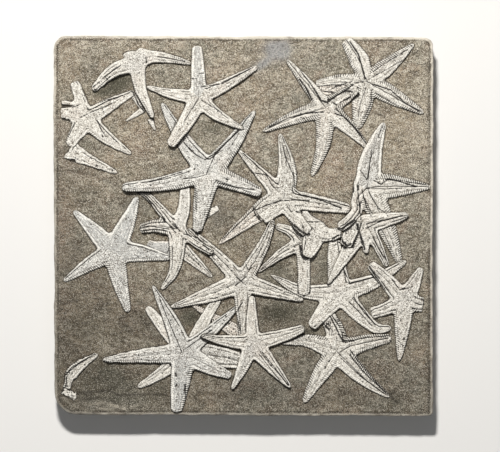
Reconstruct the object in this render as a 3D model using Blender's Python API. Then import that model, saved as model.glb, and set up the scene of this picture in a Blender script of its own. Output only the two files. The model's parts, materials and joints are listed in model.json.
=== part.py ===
"""A bed of fossil starfish: a slab of sandstone with starfish and broken arms lying on its face.

The slab lies flat, face up. Its plan is laid out in millimetres, right and down from a datum
beyond the slab's upper left corner. Each fossil is one closed solid. Its plan is the outline
of its arms, its underside follows the slab's face, and its upper side has a rim along each
edge, two ridges and the furrow between them. Where one fossil lies across another, the lower
one is thinned beneath it and the upper one steps over it, like a half-lap joint.
"""

import math
from collections import defaultdict
from dataclasses import dataclass

import bpy
from mathutils import Vector, geometry

MM = 0.001

# The slab, in millimetres: its corners on the plan, clockwise from the upper left, each
# with the radius that it is rounded to.
SLAB_THICKNESS = 30.0
SLAB_CORNERS = (
    ((53.3, 35.7), 13.0),
    ((433.3, 37.2), 9.5),
    ((432.8, 416.3), 4.0),
    ((54.6, 414.5), 21.0),
)
CORNER_STEPS = 5
EDGE_EASE = 2.2
FOOT_EASE = 1.2

# The shallow hollows worn in the slab's face between the fossils, in millimetres.
HOLLOW_GRID = 15.0
HOLLOW_DEPTH = 1.4
HOLLOW_LENGTH = 92.0
HOLLOW_CLEAR = 3.0

# A fossil's cross-section, in millimetres above the slab's face.
GAP = 0.3
RIM_HEIGHT = 2.3
RIDGE_HEIGHT = 4.2
FURROW_DEPTH = 1.5
RIDGE_PLACE = 0.6
TIP_DROP = 0.32
TIP_DROP_POWER = 1.5
LIFT_START = 0.2
THINNEST = 0.5

# An arm's plan.
DISC_REACH = 1.4
TIP_ROUND = 0.93
STATIONS = (0.0, 0.25, 0.5, 0.75, TIP_ROUND, 0.985)
RIDGE_STATIONS = (0.08, 0.35, 0.65, 0.9)
SPINE_STEPS = 8

# Half-laps, in millimetres.
LAP_LOW = 1.7
LAP_HIGH = 3.1
LAP_CLEAR = 0.4
LAP_RAMP = 1.1

# Points on the plan that are closer than this are one point.
WELD = 0.02

# Shading: edges bent by more than this stay sharp.
SHARP_ANGLE = math.radians(30.0)
ROUGHNESS = 0.9

SAND = (0.36, 0.30, 0.23)
PALE_SHELL = (0.62, 0.58, 0.52)
GREY_SHELL = (0.52, 0.51, 0.49)
WARM_SHELL = (0.58, 0.51, 0.43)


@dataclass(frozen=True)
class Arm:
    """One arm: the points its middle line runs through, out to its tip, on the plan.

    It narrows from half_width to the share end of it. The higher the taper, the later.
    """

    route: tuple
    half_width: float
    end: float = 0.2
    tip_rise: float = 0.0
    taper: float = 1.35


@dataclass(frozen=True)
class Fossil:
    """One starfish, or one loose arm when it has no centre.

    stops_at names fossils that it ends against, and passes_under pairs a fossil lying
    across it with the height of the surface between them.
    """

    name: str
    centre: tuple
    arms: tuple
    rise: float = 0.0
    stops_at: tuple = ()
    passes_under: tuple = ()
    furrow: float = 1.0
    height: float = 1.0
    colour: tuple = PALE_SHELL


def loose_arm(name, route, half_width, end=0.2, tip_rise=0.0, taper=1.35, **traits):
    """A broken arm on its own, from its wide end to its tip."""
    return Fossil(name, None, (Arm(route, half_width, end, tip_rise, taper),), **traits)


# The fossils, from the slab's upper left to its lower right.
FOSSILS = (
    Fossil(
        "starfish_crescent",
        (137, 63),
        (
            Arm(((113, 71), (93, 90)), 7.5, 0.4, 0.8),
            Arm(((152, 57), (174, 59.5), (192, 64)), 6.5),
            Arm(((140, 87), (146, 102), (153, 118)), 7.0, 0.25, 2.0),
            Arm(((130, 58), (126, 60)), 6.5, 0.9),
            Arm(((134, 55), (133, 53)), 6.0, 0.9),
            Arm(((143, 52), (144, 49)), 6.0, 0.8),
        ),
        rise=1.8,
        stops_at=("starfish_top",),
        furrow=0.35,
    ),
    loose_arm(
        "strip_by_crescent",
        ((132.5, 95), (142, 108)),
        2.2,
        0.9,
        height=0.6,
        stops_at=("starfish_crescent", "starfish_broken_left", "tip_upper_left"),
    ),
    loose_arm(
        "tip_by_crescent",
        ((150, 119), (155, 130)),
        2.4,
        0.3,
        height=0.6,
        stops_at=("starfish_crescent",),
    ),
    Fossil(
        "starfish_top",
        (199, 98),
        (
            Arm(((198, 70), (197, 46)), 7.5, 0.6),
            Arm(((230, 82.5), (257, 67)), 7.0, 0.3),
            Arm(((216, 114), (243, 129)), 7.0),
            Arm(((188, 119), (170, 146)), 8.5, 0.5, 3.5),
            Arm(((170, 93.5), (147, 87)), 6.5),
        ),
        rise=2.4,
        furrow=0.5,
    ),
    Fossil(
        "starfish_high_middle",
        (209, 172),
        (
            Arm(((187, 146), (172, 122), (162, 103)), 9.5),
            Arm(((231, 146), (255, 111)), 9.5, 0.15),
            Arm(((236, 183), (261, 193)), 8.5, 0.5, 3.0),
            Arm(((202, 205), (197, 232)), 10.0, 0.35, 2.0),
            Arm(((165, 183.5), (122, 187.5)), 8.7, 0.42, 3.5),
        ),
        rise=2.8,
        passes_under=(("starfish_top", LAP_LOW),),
        furrow=0.6,
        colour=GREY_SHELL,
    ),
    Fossil(
        "starfish_raised_left",
        (177, 229),
        (
            Arm(((161, 210), (148, 196), (137, 191)), 5.5, 0.3),
            Arm(((184, 208), (185, 186)), 6.5, 0.7),
            Arm(((157, 226), (140, 229)), 7.0, 0.6),
            Arm(((177, 255), (173, 273), (162, 289)), 8.0),
            Arm(((196, 241), (213, 252)), 5.0, 0.7, 3.5),
        ),
        rise=2.4,
        stops_at=("starfish_high_middle",),
    ),
    Fossil(
        "starfish_flat_left",
        (113, 251),
        (
            Arm(((91, 228), (74, 211)), 9.0, 0.22),
            Arm(((127, 223), (137, 197)), 10.0, 0.22),
            Arm(((140, 253), (171, 258)), 10.0),
            Arm(((120, 282), (128, 311)), 10.0, 0.3),
            Arm(((88, 265), (64, 281)), 8.5),
        ),
        rise=0.4,
        stops_at=("starfish_raised_left",),
        furrow=0.2,
        colour=GREY_SHELL,
    ),
    Fossil(
        "starfish_broken_left",
        (86, 119),
        (
            Arm(((81, 100), (74, 82)), 6.0, 0.75),
            Arm(((108, 106), (134, 92)), 8.0, 0.3),
            Arm(((106, 137), (131, 154)), 8.0),
            Arm(((77, 133), (69, 146)), 8.0, 0.5),
            Arm(((72, 113), (61, 112)), 8.5, 0.85),
            Arm(((76, 105), (62, 103)), 2.6, 0.8),
        ),
        rise=0.6,
        stops_at=("starfish_crescent",),
        furrow=0.5,
    ),
    loose_arm(
        "arm_upper_left",
        ((69.5, 149.5), (78, 155), (92, 161.5), (117, 173)),
        10.0,
        taper=0.75,
        furrow=0.6,
        stops_at=("starfish_broken_left",),
    ),
    loose_arm(
        "tip_upper_left",
        ((144, 109), (135, 115), (126, 121)),
        2.8,
        height=0.6,
        stops_at=("starfish_crescent", "starfish_broken_left"),
    ),
    loose_arm("arm_middle", ((180, 248), (198, 264), (212, 277)), 7.5, stops_at=("starfish_raised_left",)),
    loose_arm(
        "plates_middle",
        ((172, 250), (158, 248), (147, 245)),
        8.0,
        0.6,
        height=0.5,
        furrow=0.0,
        stops_at=("starfish_raised_left", "starfish_flat_left"),
    ),
    loose_arm(
        "chip_middle",
        ((205, 216), (218, 207.5)),
        3.2,
        0.8,
        height=0.6,
        stops_at=("starfish_high_middle",),
    ),
    loose_arm(
        "arm_under_centre",
        ((268, 206), (244, 224), (219, 244)),
        9.5,
        0.12,
        stops_at=("starfish_centre", "starfish_low_centre"),
        colour=WARM_SHELL,
    ),
    Fossil(
        "starfish_centre",
        (284, 198),
        (
            Arm(((262, 175), (238, 150)), 7.5),
            Arm(((287, 168), (280, 134)), 10.5, 0.15),
            Arm(((318, 203.5), (350, 209)), 9.0, 0.5, 1.0),
            Arm(((268, 208), (259, 215)), 12.0, 0.9, 2.0),
            Arm(((297, 220), (308, 233)), 7.5, 0.75, 3.0),
        ),
        rise=2.0,
        stops_at=("starfish_high_middle", "starfish_right_edge"),
    ),
    Fossil(
        "starfish_low_centre",
        (242, 282),
        (
            Arm(((217, 256), (188, 229)), 7.5, 0.35),
            Arm(((263, 246), (273, 220)), 8.0, 0.3, 2.5),
            Arm(((208, 295), (171, 307)), 9.5, 0.15),
            Arm(((276, 292), (303, 300)), 8.5),
            Arm(((243, 315), (243, 337)), 8.0, 0.45),
        ),
        rise=2.0,
        stops_at=("starfish_bottom_centre", "starfish_low_right", "starfish_high_middle"),
        passes_under=(("starfish_raised_left", LAP_LOW),),
    ),
    Fossil(
        "starfish_small_centre",
        (303, 242),
        (
            Arm(((281, 254), (258, 272)), 6.0),
            Arm(((304, 272), (304, 295)), 6.5, 0.8, 1.5),
            Arm(((290, 231), (276, 226)), 5.5, 0.5),
        ),
        rise=1.0,
        stops_at=("starfish_low_centre", "starfish_centre"),
        passes_under=(("starfish_twisted", LAP_LOW),),
    ),
    Fossil(
        "starfish_twisted",
        (315, 229),
        (
            Arm(((312, 243), (307, 257)), 9.5, 0.45, 3.5),
            Arm(((328, 235), (341, 232)), 7.0, 0.6, 1.5),
            Arm(((307, 219), (302, 212)), 6.0, 0.75, 1.0),
            Arm(((321, 225), (322, 224)), 5.0, 0.9),
        ),
        rise=2.2,
        stops_at=("starfish_centre", "starfish_right_edge"),
    ),
    Fossil(
        "starfish_upper_right",
        (367, 82),
        (
            Arm(((359, 60), (346, 40)), 10.5, 0.5),
            Arm(((393, 62), (414, 44)), 9.5, 0.15),
            Arm(((396, 98), (423, 113)), 10.0),
            Arm(((362, 105), (357, 128)), 11.0, 0.35),
            Arm(((342, 79.5), (316, 83.5)), 5.0, 0.45),
        ),
        rise=0.4,
        stops_at=("starfish_inner_right",),
    ),
    Fossil(
        "starfish_inner_right",
        (326, 108),
        (
            Arm(((306, 83), (287, 60)), 6.5, 0.25),
            Arm(((296, 117), (263, 131)), 8.0, 0.18),
            Arm(((323, 145), (312, 176)), 9.0),
            Arm(((348, 127), (367, 147)), 8.0, 0.25),
            Arm(((342, 98), (356, 87)), 6.0, 0.7, 3.0),
        ),
        rise=1.4,
        stops_at=("starfish_right_edge",),
    ),
    loose_arm(
        "plates_upper",
        ((353, 84), (337, 91), (318, 95)),
        9.0,
        0.9,
        height=0.45,
        furrow=0.0,
        stops_at=("starfish_inner_right", "starfish_upper_right"),
    ),
    Fossil(
        "starfish_right_edge",
        (367, 188),
        (
            Arm(((372, 155), (384, 123)), 12.0),
            Arm(((400, 187), (430, 187)), 10.5, 0.15),
            Arm(((378, 210), (390, 236), (399.5, 263)), 12.0, 0.22),
            Arm(((357.5, 198), (356.5, 211), (348, 221), (339, 228)), 5.5, 0.85, 2.6),
        ),
        rise=0.8,
        stops_at=("starfish_low_right",),
        passes_under=(("starfish_right_middle", LAP_LOW),),
    ),
    Fossil(
        "starfish_right_middle",
        (366, 224),
        (
            Arm(((388, 219.5), (408, 215)), 8.0, 0.3, 1.5),
            Arm(((378, 246), (387, 266)), 6.0, 0.4),
            Arm(((366, 240), (366, 253)), 3.5, 0.75, 1.0),
            Arm(((350, 248), (328, 284)), 8.5, 0.12, 1.0),
        ),
        rise=1.8,
        stops_at=("arm_curled",),
    ),
    loose_arm(
        "arm_curled",
        ((354, 221), (350, 234), (345, 246)),
        7.0,
        0.8,
        3.0,
        rise=3.0,
        furrow=0.3,
        stops_at=("starfish_right_edge",),
    ),
    Fossil(
        "starfish_low_right",
        (341, 293),
        (
            Arm(((303, 291), (271, 275)), 8.5, 0.12),
            Arm(((336, 262), (334, 239)), 10.0, 0.5),
            Arm(((375, 281), (391, 271), (406, 261)), 9.0),
            Arm(((359, 314), (376, 328), (391, 328)), 9.0, 0.28),
            Arm(((325, 310), (311, 327)), 9.0, 0.5, 2.0),
        ),
        rise=0.8,
        stops_at=("starfish_twisted", "arm_curled"),
        passes_under=(
            ("starfish_small_centre", LAP_LOW),
            ("starfish_right_middle", LAP_LOW),
            ("starfish_far_right", LAP_LOW),
        ),
    ),
    Fossil(
        "starfish_far_right",
        (404, 300),
        (
            Arm(((384, 278), (370, 264)), 8.5, 0.5, 1.5),
            Arm(((413, 285), (421, 268)), 8.0, 0.3),
            Arm(((418, 304), (423, 305)), 7.5, 0.95),
            Arm(((402, 332), (399, 361)), 9.0, 0.15),
            Arm(((385, 309), (371, 313.5)), 6.5, 0.8),
        ),
        rise=1.4,
    ),
    Fossil(
        "starfish_bottom_centre",
        (253, 343),
        (
            Arm(((252, 318), (252, 296)), 6.5, 0.4, 1.0),
            Arm(((228, 341), (202, 336)), 7.0, 0.2, 2.5),
            Arm(((280, 336.5), (304, 328)), 7.5, 0.5, 2.0),
            Arm(((270, 364), (290, 387)), 8.5),
            Arm(((241, 371), (232, 389)), 7.0, 0.2, 1.0),
        ),
        rise=2.6,
        furrow=0.7,
    ),
    Fossil(
        "starfish_bottom_right",
        (337, 351),
        (
            Arm(((308, 341), (281, 343)), 8.5, 0.15),
            Arm(((336, 334), (330, 321), (325, 313)), 9.5, 0.75),
            Arm(((368, 342), (391, 338)), 9.0, 0.4),
            Arm(((358, 373), (371, 384), (389, 397)), 10.0, 0.15),
            Arm(((320, 375), (304, 402)), 9.5, 0.22),
        ),
        rise=0.4,
        stops_at=("starfish_bottom_centre", "starfish_low_right"),
    ),
    Fossil(
        "starfish_bottom_left",
        (184, 353),
        (
            Arm(((173, 325), (153, 286)), 9.0, 0.15),
            Arm(((140, 356), (103, 360)), 9.0),
            Arm(((180, 385), (176, 412)), 10.5, 0.48),
            Arm(((210, 367), (231, 376)), 9.0, 0.35),
            Arm(((213, 329), (242, 303)), 7.5, 0.15, 1.0),
        ),
        rise=2.2,
        stops_at=("starfish_low_centre", "starfish_bottom_centre"),
    ),
    Fossil(
        "starfish_buried",
        (188, 353),
        (
            Arm(((165, 329), (147, 307)), 8.0, 0.4),
            Arm(((160, 374), (138, 387)), 7.5, 0.3),
            Arm(((215, 356), (241, 361)), 11.0, 0.7),
            Arm(((206, 318), (219, 297)), 7.0, 0.55),
        ),
        rise=0.6,
        stops_at=("starfish_bottom_centre", "starfish_low_centre"),
        passes_under=(("starfish_bottom_left", LAP_HIGH),),
    ),
    loose_arm(
        "arm_buried",
        ((240, 334), (217, 320), (191, 304)),
        7.0,
        0.15,
        stops_at=("starfish_bottom_centre", "starfish_low_centre"),
        passes_under=(("starfish_buried", LAP_LOW), ("starfish_bottom_left", LAP_HIGH)),
        colour=WARM_SHELL,
    ),
    loose_arm("arm_lower_left", ((66.5, 387), (69, 373.5), (80, 361), (97, 354)), 5.7, rise=0.5),
    loose_arm(
        "crumbs_lower_left",
        ((63, 390), (69, 393.5), (76, 398)),
        4.0,
        0.7,
        height=0.4,
        furrow=0.0,
        stops_at=("arm_lower_left",),
    ),
)


# ---------------------------------------------------------------- the plan


def smooth_route(points):
    """A Catmull-Rom curve through the points, as closely spaced points."""
    first = (2 * points[0][0] - points[1][0], 2 * points[0][1] - points[1][1])
    last = (2 * points[-1][0] - points[-2][0], 2 * points[-1][1] - points[-2][1])
    knots = [Vector(p) for p in (first, *points, last)]
    curve = []
    for a, b, c, d in zip(knots, knots[1:], knots[2:], knots[3:]):
        for step in range(SPINE_STEPS):
            t = step / SPINE_STEPS
            cubic = (3 * b - a - 3 * c + d) * t**3
            square = (2 * a - 5 * b + 4 * c - d) * t**2
            curve.append(0.5 * (2 * b + (c - a) * t + square + cubic))
    curve.append(Vector(points[-1]))
    return curve


class Spine:
    """An arm's middle line, measured along its length."""

    def __init__(self, arm, centre):
        self.arm = arm
        self.points = smooth_route(arm.route if centre is None else (centre, *arm.route))
        self.marks = [0.0]
        for a, b in zip(self.points, self.points[1:]):
            self.marks.append(self.marks[-1] + (b - a).length)
        self.length = self.marks[-1]
        self.shoulder = 0.0 if centre is None else DISC_REACH * arm.half_width

    def at(self, distance):
        """The point and direction at a distance along the line, which runs on past its tip."""
        index = 0
        while index < len(self.marks) - 2 and self.marks[index + 1] < distance:
            index += 1
        a, b = self.points[index], self.points[index + 1]
        direction = (b - a).normalized()
        return a + direction * (distance - self.marks[index]), direction

    def share(self, distance):
        """How far out a distance is, from 0 at the shoulder to 1 at the tip."""
        return min(1.0, max(0.0, (distance - self.shoulder) / (self.length - self.shoulder)))

    def half_width(self, distance):
        """Half the arm's width at a distance along it."""
        share = self.share(distance)
        width = self.arm.end + (1.0 - self.arm.end) * (1.0 - share**self.arm.taper)
        if share > TIP_ROUND:
            width *= math.sqrt(max(0.0, 1.0 - ((share - TIP_ROUND) / (1.0 - TIP_ROUND)) ** 2))
        return self.arm.half_width * width

    def distances(self, shares):
        """Distances along the line for shares of the stretch between shoulder and tip."""
        return [self.shoulder + share * (self.length - self.shoulder) for share in shares]

    def side(self, shares, across, grow=0.0):
        """Points along one side, at a share of the half-width across from the middle."""
        points = []
        for distance in self.distances(shares):
            point, direction = self.at(distance)
            reach = across * (self.half_width(distance) + grow)
            points.append(point + Vector((-direction.y, direction.x)) * reach)
        return points

    def outline(self, grow=0.0):
        """The arm's outline, widened and lengthened by a margin."""
        back, direction = self.at(-grow)
        reach = Vector((-direction.y, direction.x)) * (self.half_width(0.0) + grow)
        tip, _ = self.at(self.length + grow)
        left = self.side(STATIONS, 1.0, grow)
        right = self.side(STATIONS, -1.0, grow)
        if self.shoulder == 0.0:
            left, right = left[1:], right[1:]
        return [back + reach, *left, tip, *reversed(right), back - reach]

    def locate(self, point):
        """Distance along the line and distance from it, for a point on the plan."""
        nearest = (math.inf, 0.0)
        for a, b, mark in zip(self.points, self.points[1:], self.marks):
            span = b - a
            along = min(1.0, max(0.0, (point - a).dot(span) / span.length_squared))
            nearest = min(nearest, ((point - a - span * along).length, mark + along * span.length))
        return nearest[1], nearest[0]


def inside(point, polygon):
    """Whether a point on the plan is inside a polygon."""
    result = False
    for a, b in zip(polygon, polygon[1:] + polygon[:1]):
        if (a.y > point.y) != (b.y > point.y):
            if point.x < a.x + (b.x - a.x) * (point.y - a.y) / (b.y - a.y):
                result = not result
    return result


def inside_any(point, polygons):
    """Whether a point on the plan is inside at least one of the polygons."""
    return any(inside(point, polygon) for polygon in polygons)


def triangulate(lines, keep):
    """Triangles between the lines, which are lists of points, where keep(middle) is true."""
    points = []
    edges = []
    for line in lines:
        start = len(points)
        points.extend(line)
        edges.extend((start + i, start + i + 1) for i in range(len(line) - 1))
    found, _, faces, _, _, _ = geometry.delaunay_2d_cdt(points, edges, [], 0, WELD, False)
    kept = []
    for face in faces:
        middle = (found[face[0]] + found[face[1]] + found[face[2]]) / 3.0
        if keep(middle):
            kept.append(tuple(face))
    return [Vector(p) for p in found], kept


def closed(loop):
    """A loop of points with its first point again at the end."""
    return [*loop, loop[0]]


def largest_patch(faces):
    """The largest group of triangles joined edge to edge."""
    by_edge = defaultdict(list)
    for index, face in enumerate(faces):
        for a, b in zip(face, face[1:] + face[:1]):
            by_edge[frozenset((a, b))].append(index)
    unseen = set(range(len(faces)))
    best = []
    while unseen:
        patch = [unseen.pop()]
        for index in patch:
            face = faces[index]
            for a, b in zip(face, face[1:] + face[:1]):
                fresh = [n for n in by_edge[frozenset((a, b))] if n in unseen]
                unseen.difference_update(fresh)
                patch.extend(fresh)
        best = max(best, patch, key=len)
    return [faces[index] for index in best]


def border(faces):
    """The border of a patch of triangles, as one loop of point numbers, in the faces' turn."""
    edges = {(a, b) for face in faces for a, b in zip(face, face[1:] + face[:1])}
    following = {a: b for a, b in edges if (b, a) not in edges}
    start = next(iter(sorted(following)))
    loop = [start]
    while following[loop[-1]] != start:
        loop.append(following[loop[-1]])
    if len(loop) != len(following):
        raise ValueError("a fossil's plan is in more than one piece")
    return loop


def united_outline(polygons):
    """The outline around overlapping polygons."""
    points, faces = triangulate([closed(p) for p in polygons], lambda middle: inside_any(middle, polygons))
    return [points[index] for index in border(largest_patch(faces))]


# ---------------------------------------------------------------- a fossil's shape


class FossilPlan:
    """A fossil's plan: where it reaches and how high its upper side is."""

    def __init__(self, fossil):
        self.fossil = fossil
        self.spines = [Spine(arm, fossil.centre) for arm in fossil.arms]

    def outlines(self, grow=0.0):
        """The outline of each arm."""
        return [spine.outline(grow) for spine in self.spines]

    def outline(self, grow=0.0):
        """The outline of the whole fossil."""
        return united_outline(self.outlines(grow))

    def crests(self):
        """The lines of the furrows and of the ridges beside them."""
        lines = []
        for spine in self.spines:
            lines.append([spine.at(0.0)[0], *spine.side(RIDGE_STATIONS, 0.0)])
            for across in (RIDGE_PLACE, -RIDGE_PLACE):
                lines.append(spine.side(RIDGE_STATIONS, across))
        return lines

    def height(self, point):
        """Height of the upper side above the slab's face, at a place on the plan."""
        options = []
        for spine in self.spines:
            along, aside = spine.locate(point)
            across = min(1.0, aside / max(spine.half_width(along), THINNEST))
            options.append((across, along, spine))
        across, along, spine = min(options, key=lambda option: option[0])
        out = spine.share(along)
        relief = self.section(across) * (1.0 - TIP_DROP * out**TIP_DROP_POWER)
        return self.fossil.height * relief + self.lift(spine, out)

    def section(self, across):
        """The cross-section of an arm, from its furrow to its edge."""
        floor = RIDGE_HEIGHT - FURROW_DEPTH * self.fossil.furrow
        if across < RIDGE_PLACE:
            return floor + (RIDGE_HEIGHT - floor) * across / RIDGE_PLACE
        return RIDGE_HEIGHT + (RIM_HEIGHT - RIDGE_HEIGHT) * (across - RIDGE_PLACE) / (1.0 - RIDGE_PLACE)

    def lift(self, spine, out):
        """How far the fossil, and the arm's tip above it, lies above the slab's face."""
        eased = max(0.0, (out - LIFT_START) / (1.0 - LIFT_START))
        return self.fossil.rise + spine.arm.tip_rise * eased * eased * (3.0 - 2.0 * eased)


class Crossing:
    """The stretch where one fossil lies across another."""

    def __init__(self, other, level):
        self.level = level
        self.flat = other.outline(LAP_CLEAR)
        self.foot = other.outline(LAP_RAMP)
        self.test = other.outlines((LAP_CLEAR + LAP_RAMP) / 2.0)

    def lines(self):
        """The lines between which the step's slope lies."""
        return [closed(self.flat), closed(self.foot)]

    def covers(self, point):
        """Whether a point is on the flat of the crossing."""
        return inside_any(point, self.test)


def solid_from(plan, cutters, above, below):
    """Points and faces of a fossil's closed solid, in millimetres on the plan and up.

    cutters are the fossils it ends against, above the crossings that thin it from above,
    and below those that lift its underside.
    """
    own = plan.outlines()
    cut = [polygon for cutter in cutters for polygon in cutter.outlines(LAP_CLEAR)]
    lines = [closed(plan.outline()), *plan.crests()]
    lines += [closed(cutter.outline(LAP_CLEAR)) for cutter in cutters]
    lines += [line for crossing in (*above, *below) for line in crossing.lines()]

    def on_fossil(middle):
        return inside_any(middle, own) and not inside_any(middle, cut)

    points, faces = triangulate(lines, on_fossil)
    faces = largest_patch(faces)
    rim = border(faces)
    low_faces = faces if below else [tuple(rim)]

    def upper(point):
        height = plan.height(point)
        for crossing in above:
            if crossing.covers(point):
                height = min(height, crossing.level)
        return SLAB_THICKNESS + height

    def lower(point):
        lift = GAP
        for crossing in below:
            if crossing.covers(point):
                lift = max(lift, crossing.level + GAP)
        return SLAB_THICKNESS + lift

    corners = []
    top = sheet_numbers(points, faces, upper, corners)
    foot = sheet_numbers(points, low_faces, lower, corners)
    solid = [tuple(top[i] for i in face) for face in faces]
    solid += [tuple(foot[i] for i in reversed(face)) for face in low_faces]
    for a, b in zip(rim, rim[1:] + rim[:1]):
        solid.append((top[b], top[a], foot[a]))
        solid.append((top[b], foot[a], foot[b]))
    return corners, solid


def sheet_numbers(points, faces, height, corners):
    """Add a sheet's points to the solid's corners, and say which corner each became."""
    used = sorted({index for face in faces for index in face})
    numbers = {old: len(corners) + new for new, old in enumerate(used)}
    corners.extend((points[i].x, points[i].y, height(points[i])) for i in used)
    return numbers


# ---------------------------------------------------------------- the slab's shape


def rounded(before, corner, after, radius):
    """The arc that rounds a corner between two straight sides."""
    to_before = (before - corner).normalized()
    to_after = (after - corner).normalized()
    half = to_before.angle(to_after) / 2.0
    centre = corner + (to_before + to_after).normalized() * radius / math.sin(half)
    start = corner + to_before * radius / math.tan(half) - centre
    end = corner + to_after * radius / math.tan(half) - centre
    turn = start.angle_signed(end)
    arc = []
    for step in range(CORNER_STEPS + 1):
        angle = -turn * step / CORNER_STEPS
        spoke = Vector(
            (
                start.x * math.cos(angle) - start.y * math.sin(angle),
                start.x * math.sin(angle) + start.y * math.cos(angle),
            )
        )
        arc.append(centre + spoke)
    return arc


def slab_outline(inset):
    """The slab's outline on the plan, drawn in by an inset."""
    middle = slab_middle()
    corners = []
    for (x, y), radius in SLAB_CORNERS:
        toward = Vector((math.copysign(inset, middle.x - x), math.copysign(inset, middle.y - y)))
        corners.append((Vector((x, y)) + toward, radius - inset))
    outline = []
    for index, (corner, radius) in enumerate(corners):
        before = corners[index - 1][0]
        after = corners[(index + 1) % len(corners)][0]
        outline += rounded(before, corner, after, radius)
    return outline


def slab_middle():
    """The middle of the slab's plan."""
    across = [corner[0] for corner, _ in SLAB_CORNERS]
    down = [corner[1] for corner, _ in SLAB_CORNERS]
    return Vector(((min(across) + max(across)) / 2.0, (min(down) + max(down)) / 2.0))


def hollow_depth(point, fossils):
    """How deep the face is worn at a place on the plan: not at all beneath a fossil."""
    if inside_any(point, fossils):
        return 0.0
    wave = 2.0 * math.pi / HOLLOW_LENGTH
    broad = math.sin(point.x * wave + 0.6) * math.cos(point.y * wave * 0.8 - 0.4)
    slanting = math.sin((point.x * 0.6 + point.y) * wave * 1.3 + 2.1)
    return HOLLOW_DEPTH * max(0.0, 0.35 + 0.5 * broad + 0.3 * slanting)


def face_points(outline, fossils):
    """Points on the slab's face, on a staggered grid clear of its edge, with their heights."""
    middle = slab_middle()
    reach = round((outline[0] - middle).length / HOLLOW_GRID) + 1
    points = []
    for row in range(-reach, reach + 1):
        for column in range(-reach, reach + 1):
            step = Vector((column + 0.5 * (row % 2), row)) * HOLLOW_GRID
            if inside(middle + step, outline):
                depth = hollow_depth(middle + step, fossils)
                points.append((*(middle + step), SLAB_THICKNESS - depth))
    return [point for point in points if point[2] < SLAB_THICKNESS]


def slab_solid(plans):
    """Points and faces of the slab's closed solid."""
    rings = (
        (slab_outline(FOOT_EASE), 0.0),
        (slab_outline(0.0), FOOT_EASE),
        (slab_outline(0.0), SLAB_THICKNESS - EDGE_EASE),
        (slab_outline(EDGE_EASE), SLAB_THICKNESS),
    )
    count = len(rings[0][0])
    corners = [(point.x, point.y, height) for ring, height in rings for point in ring]
    solid = [tuple(reversed(range(count)))]
    for start in range(0, count * (len(rings) - 1), count):
        for index in range(count):
            a, b = start + index, start + (index + 1) % count
            solid.append((a, b, b + count, a + count))
    fossils = [outline for plan in plans for outline in plan.outlines(HOLLOW_CLEAR)]
    corners += face_points(slab_outline(EDGE_EASE + HOLLOW_GRID / 2.0), fossils)
    face_start = count * (len(rings) - 1)
    flat = [Vector(corner[:2]) for corner in corners[face_start:]]
    _, _, faces, origins, _, _ = geometry.delaunay_2d_cdt(flat, [], [], 0, 0.0, True)
    solid += [tuple(face_start + origins[i][0] for i in face) for face in faces]
    return corners, solid


# ---------------------------------------------------------------- objects


def clear_scene():
    """Remove every object that is already in the scene."""
    for item in list(bpy.data.objects):
        bpy.data.objects.remove(item, do_unlink=True)


def make_material(name, colour):
    """A matt stone material."""
    material = bpy.data.materials.new(name)
    material.use_nodes = True
    shader = material.node_tree.nodes["Principled BSDF"]
    shader.inputs["Base Color"].default_value = (*colour, 1.0)
    shader.inputs["Roughness"].default_value = ROUGHNESS
    shader.inputs["Metallic"].default_value = 0.0
    return material


def make_object(name, corners, faces, colour):
    """An object from points on the plan, with the slab's middle at the origin and +Y up the plan."""
    middle = slab_middle()
    places = [((x - middle.x) * MM, (middle.y - y) * MM, z * MM) for x, y, z in corners]
    mesh = bpy.data.meshes.new(name)
    mesh.from_pydata(places, [], [tuple(reversed(face)) for face in faces])
    mesh.materials.append(make_material(name, colour))
    mesh.shade_smooth()
    mesh.set_sharp_from_angle(angle=SHARP_ANGLE)
    item = bpy.data.objects.new(name, mesh)
    bpy.context.collection.objects.link(item)
    return item


def main():
    """Build the slab and the fossils on it."""
    clear_scene()
    plans = {fossil.name: FossilPlan(fossil) for fossil in FOSSILS}
    make_object("slab", *slab_solid(plans.values()), SAND)
    for name, plan in plans.items():
        cutters = [plans[other] for other in plan.fossil.stops_at]
        above = [Crossing(plans[other], level) for other, level in plan.fossil.passes_under]
        below = [
            Crossing(plans[other.name], level)
            for other in FOSSILS
            for over, level in other.passes_under
            if over == name
        ]
        make_object(name, *solid_from(plan, cutters, above, below), plan.fossil.colour)


main()
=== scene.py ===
"""A bed of fossil starfish lying on a slab of sandstone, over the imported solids.

The slab lies face up. Every form is a relief: it is worked out on a fine grid over the plan
as how far inside its margin each place lies and how high it stands there, and then a grid
primitive is cut to the margin, raised, and given walls and an underside in edit mode.
The plan is laid out in millimetres, right and down from a datum beyond the slab's upper left
corner. The slab's middle is the origin of the model, with +Y up the plan.
"""

from __future__ import annotations

import json
import logging
import math
from dataclasses import dataclass, field, fields
from enum import Enum
from typing import Any, Callable, ClassVar, Optional, Sequence, Union

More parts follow.
